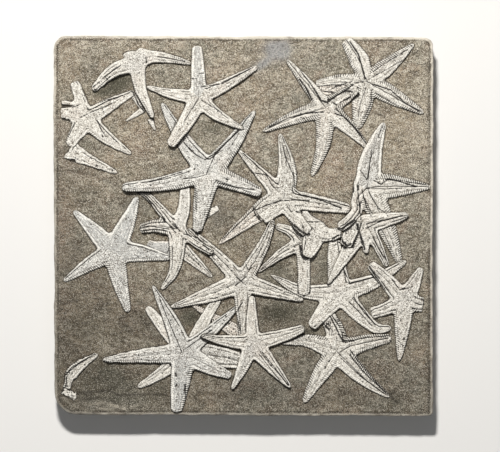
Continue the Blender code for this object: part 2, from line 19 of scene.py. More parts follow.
import bpy
import numpy as np
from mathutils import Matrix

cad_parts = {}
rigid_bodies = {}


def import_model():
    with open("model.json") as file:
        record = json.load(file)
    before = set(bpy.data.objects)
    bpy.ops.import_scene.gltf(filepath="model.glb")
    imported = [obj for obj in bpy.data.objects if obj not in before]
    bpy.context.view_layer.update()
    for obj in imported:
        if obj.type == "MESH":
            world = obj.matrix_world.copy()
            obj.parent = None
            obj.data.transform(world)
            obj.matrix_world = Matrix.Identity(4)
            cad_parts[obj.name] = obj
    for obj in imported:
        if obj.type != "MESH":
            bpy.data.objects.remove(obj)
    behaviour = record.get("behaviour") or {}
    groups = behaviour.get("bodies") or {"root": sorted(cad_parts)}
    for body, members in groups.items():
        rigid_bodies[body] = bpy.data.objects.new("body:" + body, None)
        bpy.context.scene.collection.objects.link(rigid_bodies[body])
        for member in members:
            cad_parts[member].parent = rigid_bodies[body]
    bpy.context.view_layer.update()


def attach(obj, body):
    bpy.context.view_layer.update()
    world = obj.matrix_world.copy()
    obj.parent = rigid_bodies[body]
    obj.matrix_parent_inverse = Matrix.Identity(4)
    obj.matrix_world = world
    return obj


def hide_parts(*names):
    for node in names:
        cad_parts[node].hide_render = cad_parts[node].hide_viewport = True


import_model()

LOG = logging.getLogger("starfish_fossil")

MM = 0.001

# Further than any place on a fossil is from its margin, in millimetres.
FAR = 99.0

# The plan's middle, which is the model's origin, and the height of the slab's face.
MIDDLE = (243.3, 226.0)
FACE = 30.0

Place = tuple[float, float]
Sides = tuple[float, float]
Colour = tuple[float, float, float]
Route = tuple[Place, ...]

# A value for each place of a grid, or for each of some points.
Field = np.ndarray


# ---------------------------------------------------------------- sizes


class Shell(Enum):
    """The record's material slots that the fossils take their finish from."""

    PALE = "pale_shell"
    GREY = "grey_shell"
    WARM = "warm_shell"


@dataclass(frozen=True)
class Look:
    """How an arm's surface shows. Two values are for its left and its right side.

    line is how dark the line inside its pale margin is, ribs how strong its cross plates are,
    band the margin's width, furrow how dark its middle line is, and speckle how grainy its
    middle is. teeth is how deep the gaps in the margin are, grey how blue-grey the middle is,
    ragged how uneven the outline is and crumble how broken up the plates are.
    """

    line: Sides = (0.3, 0.3)
    ribs: Sides = (0.4, 0.4)
    band: float = 2.6
    furrow: float = 0.4
    speckle: float = 0.4
    teeth: Sides = (0.25, 0.25)
    grey: float = 0.1
    ragged: float = 0.25
    crumble: float = 0.0


# A short stump or splinter, with nothing drawn on it.
BARE = Look((0.0, 0.0), (0.1, 0.1), 1.5, 0.0, 0.5)


@dataclass(frozen=True)
class Arm:
    """One arm: the points its middle line runs through, out to its tip, on the plan.

    end is the share of its width left at the tip, tip_rise how far the tip is raised, taper
    how late it narrows, and waist how much narrower it is next to the disc.
    """

    route: Route
    half_width: float
    end: float = 0.2
    tip_rise: float = 0.0
    taper: float = 1.35
    waist: float = 0.0
    look: Look = Look()


@dataclass(frozen=True)
class Fossil:
    """One starfish, or one loose arm when it has no centre.

    rise is how far it is raised off the slab. stops_at names fossils that it ends under, and
    passes_under pairs a fossil lying across it with the height of the surface between them.
    furrow and height are shares of the usual furrow and thickness, and pits is how many pits
    it has. crust is how far a granular crust hides its lines, out to crust_reach from its
    centre.
    """

    name: str
    centre: Optional[Place]
    arms: tuple[Arm, ...]
    rise: float = 0.0
    stops_at: tuple[str, ...] = ()
    passes_under: tuple[tuple[str, float], ...] = ()
    furrow: float = 1.0
    height: float = 1.0
    shell: Shell = Shell.PALE
    crust: float = 0.0
    crust_reach: float = 14.0
    pits: int = 18


def starfish(name: str, centre: Place, *arms: Arm, **traits: Any) -> Fossil:
    """A starfish, whole or in part.

    Args:
        name: The fossil's name.
        centre: The middle of its disc.
        arms: Its arms.
        traits: The fossil's other fields.

    Returns:
        The fossil.
    """
    return Fossil(name, centre, arms, **traits)


def loose_arm(
    name: str, route: Route, half_width: float, end: float = 0.2, tip_rise: float = 0.0, **traits: Any
) -> Fossil:
    """A broken arm on its own, from its wide end to its tip.

    Args:
        name: The fossil's name.
        route: The points that its middle line runs through.
        half_width: Half its width at the wide end.
        end: The share of that width left at the tip.
        tip_rise: How far the tip is raised.
        traits: The fossil's other fields, and the arm's own where it has them.

    Returns:
        The fossil.
    """
    own = {key: traits.pop(key) for key in ("taper", "waist", "look") if key in traits}
    return Fossil(name, None, (Arm(route, half_width, end, tip_rise, **own),), **traits)


# The height of the surface between two fossils that cross.
LAP_LOW = 1.7
LAP_HIGH = 3.1

# The fossils, from the slab's upper left to its lower right.
FOSSILS = (
    starfish(
        "starfish_crescent", (137, 63),
        Arm(((113, 71), (93, 90)), 7.5, 0.4, 0.8, look=Look((0.5, 0.55), (0.35, 0.15), 3.0, 0.15, 0.35)),
        Arm(((152, 57), (174, 59.5), (192, 64)), 6.5, look=Look((0.45, 0.3), (0.3, 0.55), 2.4, 0.45)),
        Arm(
            ((140, 87), (146, 102), (153, 118)), 7.0, 0.25, 2.0,
            look=Look((0.1, 0.35), (0.1, 0.4), 2.6, 0.1, 0.2),
        ),
        Arm(((130, 58), (126, 60)), 6.5, 0.9, look=BARE),
        Arm(((134, 55), (133, 53)), 6.0, 0.9, look=BARE),
        Arm(((143, 52), (144, 49)), 6.0, 0.8, look=BARE),
        rise=1.8, stops_at=("starfish_top",), furrow=0.2, crust=0.75, crust_reach=15.0, pits=14,
    ),
    loose_arm(
        "strip_by_crescent", ((132.5, 95), (142, 108)), 2.2, 0.9,
        height=0.6, stops_at=("starfish_crescent", "starfish_broken_left", "tip_upper_left"), look=BARE,
        pits=0,
    ),
    loose_arm(
        "tip_by_crescent", ((150, 119), (155, 130)), 2.4, 0.3,
        height=0.6, stops_at=("starfish_crescent",), look=BARE, pits=0,
    ),
    starfish(
        "starfish_top", (199, 98),
        Arm(((198, 70), (197, 46)), 7.5, 0.6, look=Look((0.15, 0.1), (0.3, 0.35), 2.2, 0.0, 0.2, grey=0.8)),
        Arm(((230, 82.5), (257, 67)), 7.0, 0.3, look=Look((0.7, 0.15), (0.2, 0.5), 2.3, 0.35, 0.6)),
        Arm(((216, 114), (243, 129)), 7.0, look=Look((0.5, 0.1), (0.2, 0.4), 2.2, 0.4, 0.4)),
        Arm(((188, 119), (170, 146)), 8.5, 0.5, 3.5, look=Look((0.15, 0.2), (0.3, 0.2), 2.6, 0.3, 0.7)),
        Arm(((170, 93.5), (147, 87)), 6.5, look=Look((0.1, 0.5), (0.3, 0.2), 2.0, 0.3, 0.4)),
        rise=2.4, furrow=0.4, pits=14,
    ),
    starfish(
        "starfish_high_middle", (209, 172),
        Arm(
            ((187, 146), (172, 122), (162, 103)), 9.8,
            look=Look((0.1, 0.75), (0.6, 0.4), 3.0, 0.3, 0.35, (0.2, 0.1), grey=0.3),
        ),
        Arm(
            ((231, 146), (255, 111)), 10.2, 0.15,
            look=Look((0.8, 0.1), (0.5, 0.9), 3.1, 0.5, 0.45, (0.1, 0.3), grey=0.2),
        ),
        Arm(
            ((236, 183), (261, 193)), 9.0, 0.5, 3.0,
            look=Look((0.35, 0.45), (1.1, 0.9), 4.0, 0.3, 0.3, (0.4, 0.2)),
        ),
        Arm(
            ((202, 205), (197, 232)), 10.5, 0.35, 2.0,
            look=Look((0.3, 0.3), (0.8, 0.7), 3.2, 0.3, 0.7, (0.2, 0.2)),
        ),
        Arm(
            ((165, 183.5), (122, 187.5)), 9.0, 0.42, 3.5,
            look=Look((0.3, 0.7), (0.7, 0.3), 3.0, 0.35, 0.6, (0.2, 0.1)),
        ),
        rise=2.8, passes_under=(("starfish_top", LAP_LOW),), furrow=0.5, shell=Shell.GREY, pits=26,
    ),
    starfish(
        "starfish_raised_left", (177, 229),
        Arm(((161, 210), (148, 196), (137, 191)), 5.5, 0.3, look=Look((0.95, 0.7), (0.3, 0.1), 2.0, 0.8)),
        Arm(((184, 208), (185, 186)), 6.5, 0.7, look=Look((0.2, 0.2), (0.2, 0.2), 2.2, 0.1, 0.3, grey=0.4)),
        Arm(((157, 226), (140, 229)), 7.0, 0.6, look=Look((0.9, 0.7), (0.9, 0.8), 2.8, 0.7, 0.3)),
        Arm(((177, 255), (173, 273), (162, 289)), 8.0, look=Look((0.55, 0.6), (0.4, 0.3), 2.4, 0.25, 0.5)),
        Arm(((195, 242.5), (212.5, 253)), 4.0, 0.75, 3.5, look=Look((0.7, 0.8), (0.2, 0.2), 1.5, 0.2)),
        rise=2.4, stops_at=("starfish_high_middle",), furrow=0.6,
    ),
    starfish(
        "starfish_flat_left", (113, 251),
        Arm(((91, 228), (74, 211)), 9.0, 0.22, look=Look((0.05, 0.3), (0.3, 0.3), 2.2, 0.0, 0.4, grey=0.8)),
        Arm(
            ((127, 223), (137, 197)), 10.0, 0.22,
            look=Look((0.05, 0.1), (0.3, 0.6), 2.3, 0.0, 0.3, (0.1, 0.4), grey=0.9),
        ),
        Arm(
            ((140, 253), (171, 258)), 10.0,
            look=Look((0.7, 0.1), (0.2, 0.8), 2.3, 0.0, 0.6, (0.1, 0.5), grey=0.8),
        ),
        Arm(
            ((120, 282), (128, 312)), 9.4, 0.28,
            look=Look((0.15, 0.15), (0.8, 0.7), 2.4, 0.0, 1.0, (0.4, 0.3), grey=0.6),
        ),
        Arm(
            ((88, 265), (64, 281)), 8.5,
            look=Look((0.2, 0.7), (0.8, 0.3), 2.4, 0.1, 0.8, (0.5, 0.1), grey=0.4),
        ),
        rise=0.4, stops_at=("starfish_raised_left",), furrow=0.0, height=0.8, shell=Shell.GREY,
        crust=0.5, crust_reach=12.0, pits=16,
    ),
    starfish(
        "starfish_broken_left", (86, 119),
        Arm(((81, 100), (74, 82)), 6.0, 0.75, look=Look((0.2, 0.6), (0.2, 0.2), 2.2, 0.1, 0.3, ragged=0.6)),
        Arm(((108, 106), (134, 92)), 8.0, 0.3, look=Look((0.95, 0.1), (0.1, 0.3), 2.6, 0.3, 0.7)),
        Arm(((106, 137), (131, 154)), 8.0, look=Look((0.75, 0.1), (0.1, 0.4), 2.2, 0.1, 0.3)),
        Arm(((77, 133), (69, 146)), 8.0, 0.5, look=Look((0.2, 0.1), (0.2, 0.4), 2.2, 0.2, 0.6, ragged=0.5)),
        Arm(((72, 113), (61, 112)), 8.5, 0.85, look=Look((0.1, 0.5), (0.5, 0.3), 2.2, 0.0, 0.4, ragged=1.5)),
        Arm(((76, 105), (62, 103)), 2.6, 0.8, look=BARE),
        rise=0.6, stops_at=("starfish_crescent",), furrow=0.3, height=0.9,
    ),
    loose_arm(
        "arm_upper_left", ((69.5, 149.5), (78, 155), (92, 161.5), (117, 173)), 10.0,
        taper=0.75, furrow=0.2, height=0.85, stops_at=("starfish_broken_left",),
        look=Look((0.55, 0.2), (0.2, 0.4), 2.8, 0.1, 0.5, ragged=0.5),
    ),
    loose_arm(
        "tip_upper_left", ((144, 109), (135, 115), (126, 121)), 2.8,
        height=0.6, stops_at=("starfish_crescent", "starfish_broken_left"), look=BARE, pits=0,
    ),
    loose_arm(
        "arm_middle", ((180, 248), (198, 264), (212, 277)), 7.5,
        stops_at=("starfish_raised_left",), look=Look((0.6, 0.2), (0.2, 0.4), 2.2, 0.6, 0.3),
    ),
    loose_arm(
        "plates_middle", ((172, 250), (158, 248), (147, 245)), 8.0, 0.6,
        height=0.5, furrow=0.0, stops_at=("starfish_raised_left", "starfish_flat_left"),
        shell=Shell.WARM,
        look=Look((0.0, 0.0), (0.0, 0.0), 1.0, 0.0, 0.1, (0.0, 0.0), grey=1.0, crumble=0.25, ragged=0.5),
    ),
    loose_arm(
        "chip_middle", ((205, 216), (218, 207.5)), 3.2, 0.8,
        height=0.6, stops_at=("starfish_high_middle",),
        look=Look((0.0, 0.0), (0.2, 0.2), 3.2, 0.0, 0.0, (0.0, 0.0), grey=0.1, ragged=0.6), pits=0,
    ),
    loose_arm(
        "arm_under_centre", ((268, 206), (244, 224), (219, 244)), 9.5, 0.12,
        stops_at=("starfish_centre", "starfish_low_centre"), shell=Shell.WARM,
        look=Look((0.3, 0.75), (0.4, 1.0), 3.0, 0.5, 0.5), pits=6,
    ),
    starfish(
        "starfish_centre", (284, 198),
        Arm(((262, 175), (238, 150)), 7.5, look=Look((0.3, 0.95), (0.3, 0.25), 2.8, 0.5, 0.6)),
        Arm(
            ((287, 168), (280, 134)), 10.5, 0.15, waist=0.1,
            look=Look((0.5, 0.6), (0.3, 0.5), 3.0, 0.5, 0.9, grey=0.3),
        ),
        Arm(((318, 203.5), (350, 209)), 9.0, 0.5, 1.0, look=Look((1.0, 0.3), (0.4, 0.5), 3.4, 0.5, 0.5)),
        Arm(((268, 208), (259, 215)), 12.0, 0.9, 2.0, look=Look((0.2, 0.5), (0.3, 0.6), 3.0, 0.5, 0.8)),
        Arm(((297, 220), (308, 233)), 7.5, 0.75, 3.0, look=Look((0.3, 0.2), (0.2, 0.3), 2.4, 0.3, 0.5)),
        rise=2.0, stops_at=("starfish_high_middle", "starfish_right_edge"), furrow=0.7, pits=22,
    ),
    starfish(
        "starfish_low_centre", (242, 282),
        Arm(((217, 256), (188, 229)), 7.5, 0.35, look=Look((0.5, 0.7), (0.4, 0.3), 2.4, 0.85, 0.6)),
        Arm(((263, 246), (273, 220)), 8.0, 0.3, 2.5, look=Look((0.6, 0.5), (0.3, 0.6), 2.5, 0.75, 0.8)),
        Arm(((208, 295), (171, 307)), 9.5, 0.15, look=Look((0.5, 0.6), (0.3, 0.2), 2.8, 0.6, 0.5)),
        Arm(((276, 292), (303, 300)), 8.5, look=Look((0.75, 0.5), (0.3, 0.4), 2.6, 0.6, 0.5)),
        Arm(((243, 315), (243, 337)), 8.0, 0.45, look=Look((0.45, 0.5), (0.4, 0.4), 2.4, 0.5, 0.7)),
        rise=2.0, stops_at=("starfish_bottom_centre", "starfish_low_right", "starfish_high_middle"),
        passes_under=(("starfish_raised_left", LAP_LOW),), crust=0.6, crust_reach=10.0, pits=26,
    ),
    starfish(
        "starfish_small_centre", (303, 242),
        Arm(((281, 254), (258, 272)), 6.0, look=Look((0.5, 0.6), (0.3, 0.2), 2.0, 0.7, 0.4)),
        Arm(((304, 272), (304, 295)), 6.5, 0.8, 1.5, look=Look((0.35, 0.25), (0.5, 0.4), 2.2, 0.1, 0.6)),
        Arm(((290, 231), (276, 226)), 5.5, 0.5, look=Look((0.7, 0.4), (0.2, 0.2), 1.8, 0.7, 0.2)),
        rise=1.0, stops_at=("starfish_low_centre", "starfish_centre"),
        passes_under=(("starfish_twisted", LAP_LOW),),
    ),
    starfish(
        "starfish_twisted", (315, 229),
        Arm(((312, 243), (307, 257)), 9.5, 0.45, 3.5, look=Look((0.2, 0.1), (0.2, 0.1), 2.6, 0.5, 0.8)),
        Arm(((328, 235), (341, 232)), 7.0, 0.6, 1.5, look=Look((0.2, 0.5), (0.4, 0.4), 2.4, 0.1, 0.4)),
        Arm(((307, 219), (302, 212)), 6.0, 0.75, 1.0, look=Look((0.2, 0.3), (0.2, 0.2), 2.0, 0.2, 0.3)),
        Arm(((321, 225), (322, 224)), 5.0, 0.9, look=Look((0.6, 0.6), (0.1, 0.1), 1.8, 0.0, 0.4)),
        rise=2.2, stops_at=("starfish_centre", "starfish_right_edge"), furrow=0.5, pits=14,
    ),
    starfish(
        "starfish_upper_right", (367, 82),
        Arm(
            ((359, 60), (346, 40)), 10.5, 0.5, waist=0.4,
            look=Look((0.05, 0.1), (1.1, 0.6), 3.0, 0.9, 0.3, (1.0, 0.3)),
        ),
        Arm(
            ((393, 62), (414, 44)), 9.5, 0.15, waist=0.3,
            look=Look((0.25, 0.1), (0.9, 0.5), 3.0, 0.4, 0.8, (0.5, 0.3)),
        ),
        Arm(
            ((396, 98), (423, 113)), 10.0, waist=0.3,
            look=Look((0.2, 0.1), (1.1, 0.8), 3.0, 0.9, 0.5, (0.9, 0.7)),
        ),
        Arm(
            ((362, 105), (357, 128)), 11.0, 0.35, waist=0.2,
            look=Look((0.2, 0.2), (1.2, 1.1), 3.4, 0.3, 0.7, (0.6, 0.6)),
        ),
        Arm(
            ((342, 79.5), (316, 83.5)), 6.0, 0.45,
            look=Look((0.6, 0.1), (0.3, 1.1), 2.6, 0.4, 0.4, (0.2, 0.7)),
        ),
        rise=0.4, stops_at=("starfish_inner_right",), furrow=0.8, height=0.72, pits=24,
    ),
    starfish(
        "starfish_inner_right", (326, 108),
        Arm(((306, 83), (287, 60)), 7.2, 0.25, look=Look((0.1, 0.2), (0.8, 0.4), 2.6, 0.7, 0.5, (0.7, 0.3))),
        Arm(
            ((296, 117), (263, 131)), 8.4, 0.18,
            look=Look((0.25, 0.4), (1.3, 1.3), 3.6, 0.6, 0.1, (0.6, 0.7)),
        ),
        Arm(((323, 145), (312, 176)), 9.0, look=Look((0.15, 0.2), (1.2, 1.0), 3.6, 0.2, 0.6, (0.5, 1.0))),
        Arm(
            ((348, 127), (367, 147)), 8.6, 0.25,
            look=Look((0.85, 0.1), (1.0, 0.4), 3.2, 0.3, 0.5, (0.6, 0.3)),
        ),
        Arm(
            ((342, 98), (356, 87)), 8.2, 0.7, 3.0,
            look=Look((0.8, 0.3), (1.1, 0.9), 3.2, 0.2, 0.8, crumble=0.35),
        ),
        rise=1.4, stops_at=("starfish_right_edge",), height=0.85, pits=16,
    ),
    loose_arm(
        "plates_upper", ((353, 84), (337, 91), (318, 95)), 9.0, 0.9,
        height=0.45, furrow=0.0, stops_at=("starfish_inner_right", "starfish_upper_right"),
        shell=Shell.WARM, look=Look((0.0, 0.3), (0.7, 0.7), 4.0, 0.0, 0.9, crumble=0.7, ragged=0.5),
        pits=14,
    ),
    starfish(
        "starfish_right_edge", (367, 188),
        Arm(
            ((372, 155), (384, 123)), 12.0,
            look=Look((0.05, 0.4), (0.2, 0.3), 3.0, 0.6, 0.6, (0.4, 0.1), grey=0.7),
        ),
        Arm(
            ((388, 186.5), (430, 187)), 12.2, 0.15,
            look=Look((0.8, 0.2), (1.2, 1.1), 4.8, 0.8, 0.1, (0.6, 1.2)),
        ),
        Arm(
            ((378, 210), (390, 236), (399.5, 263)), 12.0, 0.22,
            look=Look((0.3, 0.5), (1.2, 1.0), 4.6, 0.6, 0.6, (0.8, 0.4)),
        ),
        Arm(
            ((357.5, 198), (356.5, 211), (348, 221), (339, 228)), 5.5, 0.85, 2.6,
            look=Look((0.9, 0.2), (0.2, 0.3), 2.4, 0.9, 0.1),
        ),
        rise=0.8, stops_at=("starfish_low_right",), passes_under=(("starfish_right_middle", LAP_LOW),),
        height=0.85, pits=22,
    ),
    starfish(
        "starfish_right_middle", (366, 224),
        Arm(((388, 219.5), (408, 215)), 8.0, 0.3, 1.5, look=Look((0.4, 0.6), (0.2, 0.3), 2.4, 0.8, 0.3)),
        Arm(((378, 246), (387, 266)), 6.0, 0.4, look=Look((0.7, 0.6), (0.3, 0.2), 1.9, 0.5, 0.3)),
        Arm(((366, 240), (366, 253)), 3.5, 0.75, 1.0, look=Look((0.3, 0.3), (0.2, 0.2), 1.4, 0.2, 0.2)),
        Arm(((350, 248), (328, 284)), 8.5, 0.12, 1.0, look=Look((0.15, 0.3), (0.3, 0.2), 2.2, 0.1, 0.4)),
        rise=1.8, stops_at=("arm_curled",), furrow=0.7, pits=14,
    ),
    loose_arm(
        "arm_curled", ((354, 221), (350, 234), (345, 246)), 7.0, 0.8, 3.0,
        rise=3.0, furrow=0.2, stops_at=("starfish_right_edge",),
        look=Look((0.2, 0.3), (0.2, 0.2), 2.0, 0.3, 0.9), pits=8,
    ),
    starfish(
        "starfish_low_right", (341, 293),
        Arm(((303, 291), (271, 275)), 8.5, 0.12, look=Look((0.4, 0.75), (0.5, 0.2), 2.6, 0.5, 0.3)),
        Arm(((336, 262), (334, 239)), 10.0, 0.5, look=Look((0.1, 0.85), (0.6, 0.1), 3.0, 0.2, 0.6)),
        Arm(((375, 281), (391, 271), (406, 261)), 9.0, look=Look((0.9, 0.3), (0.1, 0.6), 2.8, 0.4, 0.5)),
        Arm(
            ((359, 314), (376, 328), (391, 328)), 9.0, 0.28,
            look=Look((0.85, 0.1), (0.1, 0.3), 2.6, 0.2, 0.6),
        ),
        Arm(((325, 310), (311, 327)), 9.0, 0.5, 2.0, look=Look((0.2, 0.2), (0.3, 0.2), 2.8, 0.2, 0.7)),
        rise=0.8, stops_at=("starfish_twisted", "arm_curled"),
        passes_under=(
            ("starfish_small_centre", LAP_LOW),
            ("starfish_right_middle", LAP_LOW),
            ("starfish_far_right", LAP_LOW),
        ),
        furrow=0.5, height=0.9, crust=0.35, crust_reach=9.0,
    ),
    starfish(
        "starfish_far_right", (404, 300),
        Arm(((384, 278), (370, 264)), 8.5, 0.5, 1.5, look=Look((0.8, 0.5), (0.3, 0.3), 2.6, 0.6, 0.4)),
        Arm(((413, 285), (421, 268)), 8.0, 0.3, look=Look((0.5, 0.3), (0.3, 0.4), 2.4, 0.4, 0.8, grey=0.3)),
        Arm(((418, 304), (423, 305)), 7.5, 0.95, look=Look((0.6, 0.6), (0.7, 0.7), 2.2, 0.5, 0.5)),
        Arm(
            ((402, 332), (399, 361)), 9.0, 0.15,
            look=Look((0.15, 0.35), (0.5, 0.6), 2.4, 0.2, 0.8, (0.5, 0.5)),
        ),
        Arm(((385, 309), (371, 313.5)), 6.5, 0.8, look=Look((0.6, 0.7), (0.3, 0.3), 2.2, 0.6, 0.3)),
        rise=1.4, furrow=0.6, crust=0.5, crust_reach=11.0, pits=26,
    ),
    starfish(
        "starfish_bottom_centre", (253, 343),
        Arm(((252, 318), (252, 296)), 6.5, 0.4, 1.0, look=Look((0.3, 0.5), (0.1, 0.2), 2.2, 0.2, 0.3)),
        Arm(((228, 341), (202, 336)), 7.0, 0.2, 2.5, look=Look((0.3, 0.85), (0.3, 0.1), 2.2, 0.4, 0.5)),
        Arm(((280, 336.5), (304, 328)), 7.5, 0.5, 2.0, look=Look((0.65, 0.3), (0.2, 0.4), 2.2, 0.5, 0.6)),
        Arm(((270, 364), (290, 387)), 8.5, look=Look((0.65, 0.2), (0.2, 0.2), 2.2, 0.75, 0.4)),
        Arm(
            ((241, 371), (232, 389)), 7.0, 0.2, 1.0,
            look=Look((0.2, 0.1), (0.4, 0.2), 2.0, 0.2, 0.6, grey=0.5),
        ),
        rise=2.6, furrow=0.6, crust=0.6, crust_reach=10.0,
    ),
    starfish(
        "starfish_bottom_right", (337, 351),
        Arm(
            ((308, 341), (281, 343)), 8.5, 0.15,
            look=Look((0.2, 0.3), (0.5, 1.0), 2.6, 0.5, 0.9, (0.4, 0.5)),
        ),
        Arm(
            ((336, 334), (330, 321), (325, 313)), 9.5, 0.75,
            look=Look((0.0, 0.95), (0.0, 1.1), 3.6, 0.3, 0.4, (0.1, 0.6), crumble=0.8),
        ),
        Arm(
            ((368, 342), (391, 338)), 9.0, 0.4,
            look=Look((0.85, 0.1), (1.2, 0.9), 3.2, 0.1, 0.5, (0.6, 0.8)),
        ),
        Arm(
            ((358, 373), (371, 384), (389, 397)), 10.0, 0.15,
            look=Look((1.0, 0.1), (1.3, 0.3), 3.6, 0.9, 0.4, (0.8, 0.3)),
        ),
        Arm(
            ((320, 375), (304, 402)), 9.5, 0.22, waist=0.15,
            look=Look((0.15, 0.2), (0.6, 1.0), 2.8, 0.5, 0.5, (0.5, 0.7)),
        ),
        rise=0.4, stops_at=("starfish_bottom_centre", "starfish_low_right"), furrow=0.8, height=0.9,
        pits=10,
    ),
    starfish(
        "starfish_bottom_left", (184, 353),
        Arm(((173, 325), (153, 286)), 9.0, 0.15, look=Look((0.3, 0.7), (0.2, 0.3), 2.8, 0.3, 0.6, grey=0.2)),
        Arm(
            ((140, 356), (103, 360)), 9.0,
            look=Look((0.3, 0.4), (0.8, 0.3), 2.4, 0.4, 0.8, (0.6, 0.3), ragged=0.5),
        ),
        Arm(
            ((180, 385), (176, 412)), 10.5, 0.48,
            look=Look((0.2, 0.1), (1.0, 0.4), 2.8, 0.1, 0.6, (1.3, 0.3), grey=0.9),
        ),
        Arm(((210, 367), (231, 376)), 9.0, 0.35, look=Look((0.3, 0.3), (0.4, 0.5), 2.8, 0.4, 0.5, grey=0.3)),
        Arm(((213, 329), (242, 303)), 7.5, 0.15, 1.0, look=Look((0.85, 0.2), (0.2, 0.3), 2.2, 0.3, 0.3)),
        rise=2.2, stops_at=("starfish_low_centre", "starfish_bottom_centre"), furrow=0.6,
        shell=Shell.GREY, crust=0.7, crust_reach=13.0, pits=40,
    ),
    starfish(
        "starfish_buried", (188, 353),
        Arm(((165, 329), (147, 307)), 8.0, 0.4, look=Look((0.15, 0.1), (0.2, 0.2), 2.2, 0.2, 0.4)),
        Arm(((160, 374), (138, 387)), 7.5, 0.3, look=Look((0.3, 0.5), (0.5, 0.5), 2.4, 0.5, 0.3)),
        Arm(((215, 356), (241, 361)), 11.0, 0.7, look=Look((0.5, 0.5), (0.5, 0.4), 3.0, 0.7, 1.0, grey=0.5)),
        Arm(((206, 318), (219, 297)), 7.0, 0.55, look=Look((0.3, 0.2), (0.2, 0.2), 2.2, 0.3, 0.4)),
        rise=0.6, stops_at=("starfish_bottom_centre", "starfish_low_centre"),
        passes_under=(("starfish_bottom_left", LAP_HIGH),), height=0.9,
    ),
    loose_arm(
        "arm_buried", ((240, 334), (217, 320), (191, 304)), 7.0, 0.15,
        stops_at=("starfish_bottom_centre", "starfish_low_centre"),
        passes_under=(("starfish_buried", LAP_LOW), ("starfish_bottom_left", LAP_HIGH)),
        shell=Shell.WARM, look=Look((0.3, 0.3), (0.8, 0.5), 2.4, 0.2, 0.4, crumble=0.3),
    ),
    loose_arm(
        "arm_lower_left", ((67, 388), (71, 375), (82, 364), (97.5, 354.5)), 6.9, 0.3,
        rise=0.5, taper=1.7, waist=0.5,
        look=Look((0.95, 0.3), (0.5, 0.2), 3.4, 0.4, 0.4, (0.3, 0.1), ragged=0.5), pits=6,
    ),
    loose_arm(
        "crumbs_lower_left", ((63, 390), (69, 393.5), (76, 398)), 4.0, 0.7,
        height=0.4, furrow=0.0, stops_at=("arm_lower_left",),
        look=Look((0.0, 0.0), (0.0, 0.0), 1.0, 0.0, 0.2, (0.0, 0.0), crumble=1.0, ragged=1.6), pits=4,
    ),
)


# ---------------------------------------------------------------- marks on the plan


@dataclass(frozen=True)
class Patch:
    """A soft oval place on the plan: its middle, its reach right and down, its strength."""

    middle: Place
    reach: Place
    strength: float
    turn: float = 0.0

    def over(self, right: Field, down: Field) -> Field:
        """How strongly the patch shows at places on the plan."""
        turn = math.radians(self.turn)
        x, y = right - self.middle[0], down - self.middle[1]
        along = x * math.cos(turn) + y * math.sin(turn)
        aside = y * math.cos(turn) - x * math.sin(turn)
        far = (along / self.reach[0]) ** 2 + (aside / self.reach[1]) ** 2
        return self.strength * np.exp(-far)


@dataclass(frozen=True)
class Line:
    """A soft line on the plan."""

    route: Route
    half_width: float

    def over(self, right: Field, down: Field) -> Field:
        """How strongly the line shows at places on the plan."""
        nearest = np.full(right.shape, FAR**2)
        for (ax, ay), (bx, by) in zip(self.route, self.route[1:]):
            span_x, span_y = bx - ax, by - ay
            share = ((right - ax) * span_x + (down - ay) * span_y) / (span_x**2 + span_y**2)
            share = np.clip(share, 0.0, 1.0)
            far = (right - ax - share * span_x) ** 2 + (down - ay - share * span_y) ** 2
            nearest = np.minimum(nearest, far)
        return np.exp(-nearest / self.half_width**2)


@dataclass(frozen=True)
class Stroke(Line):
    """A line on the slab's face.

    depth is how far it is cut in, or stands up where negative, and dark how much darker it
    is, or paler where negative.
    """

    depth: float
    dark: float


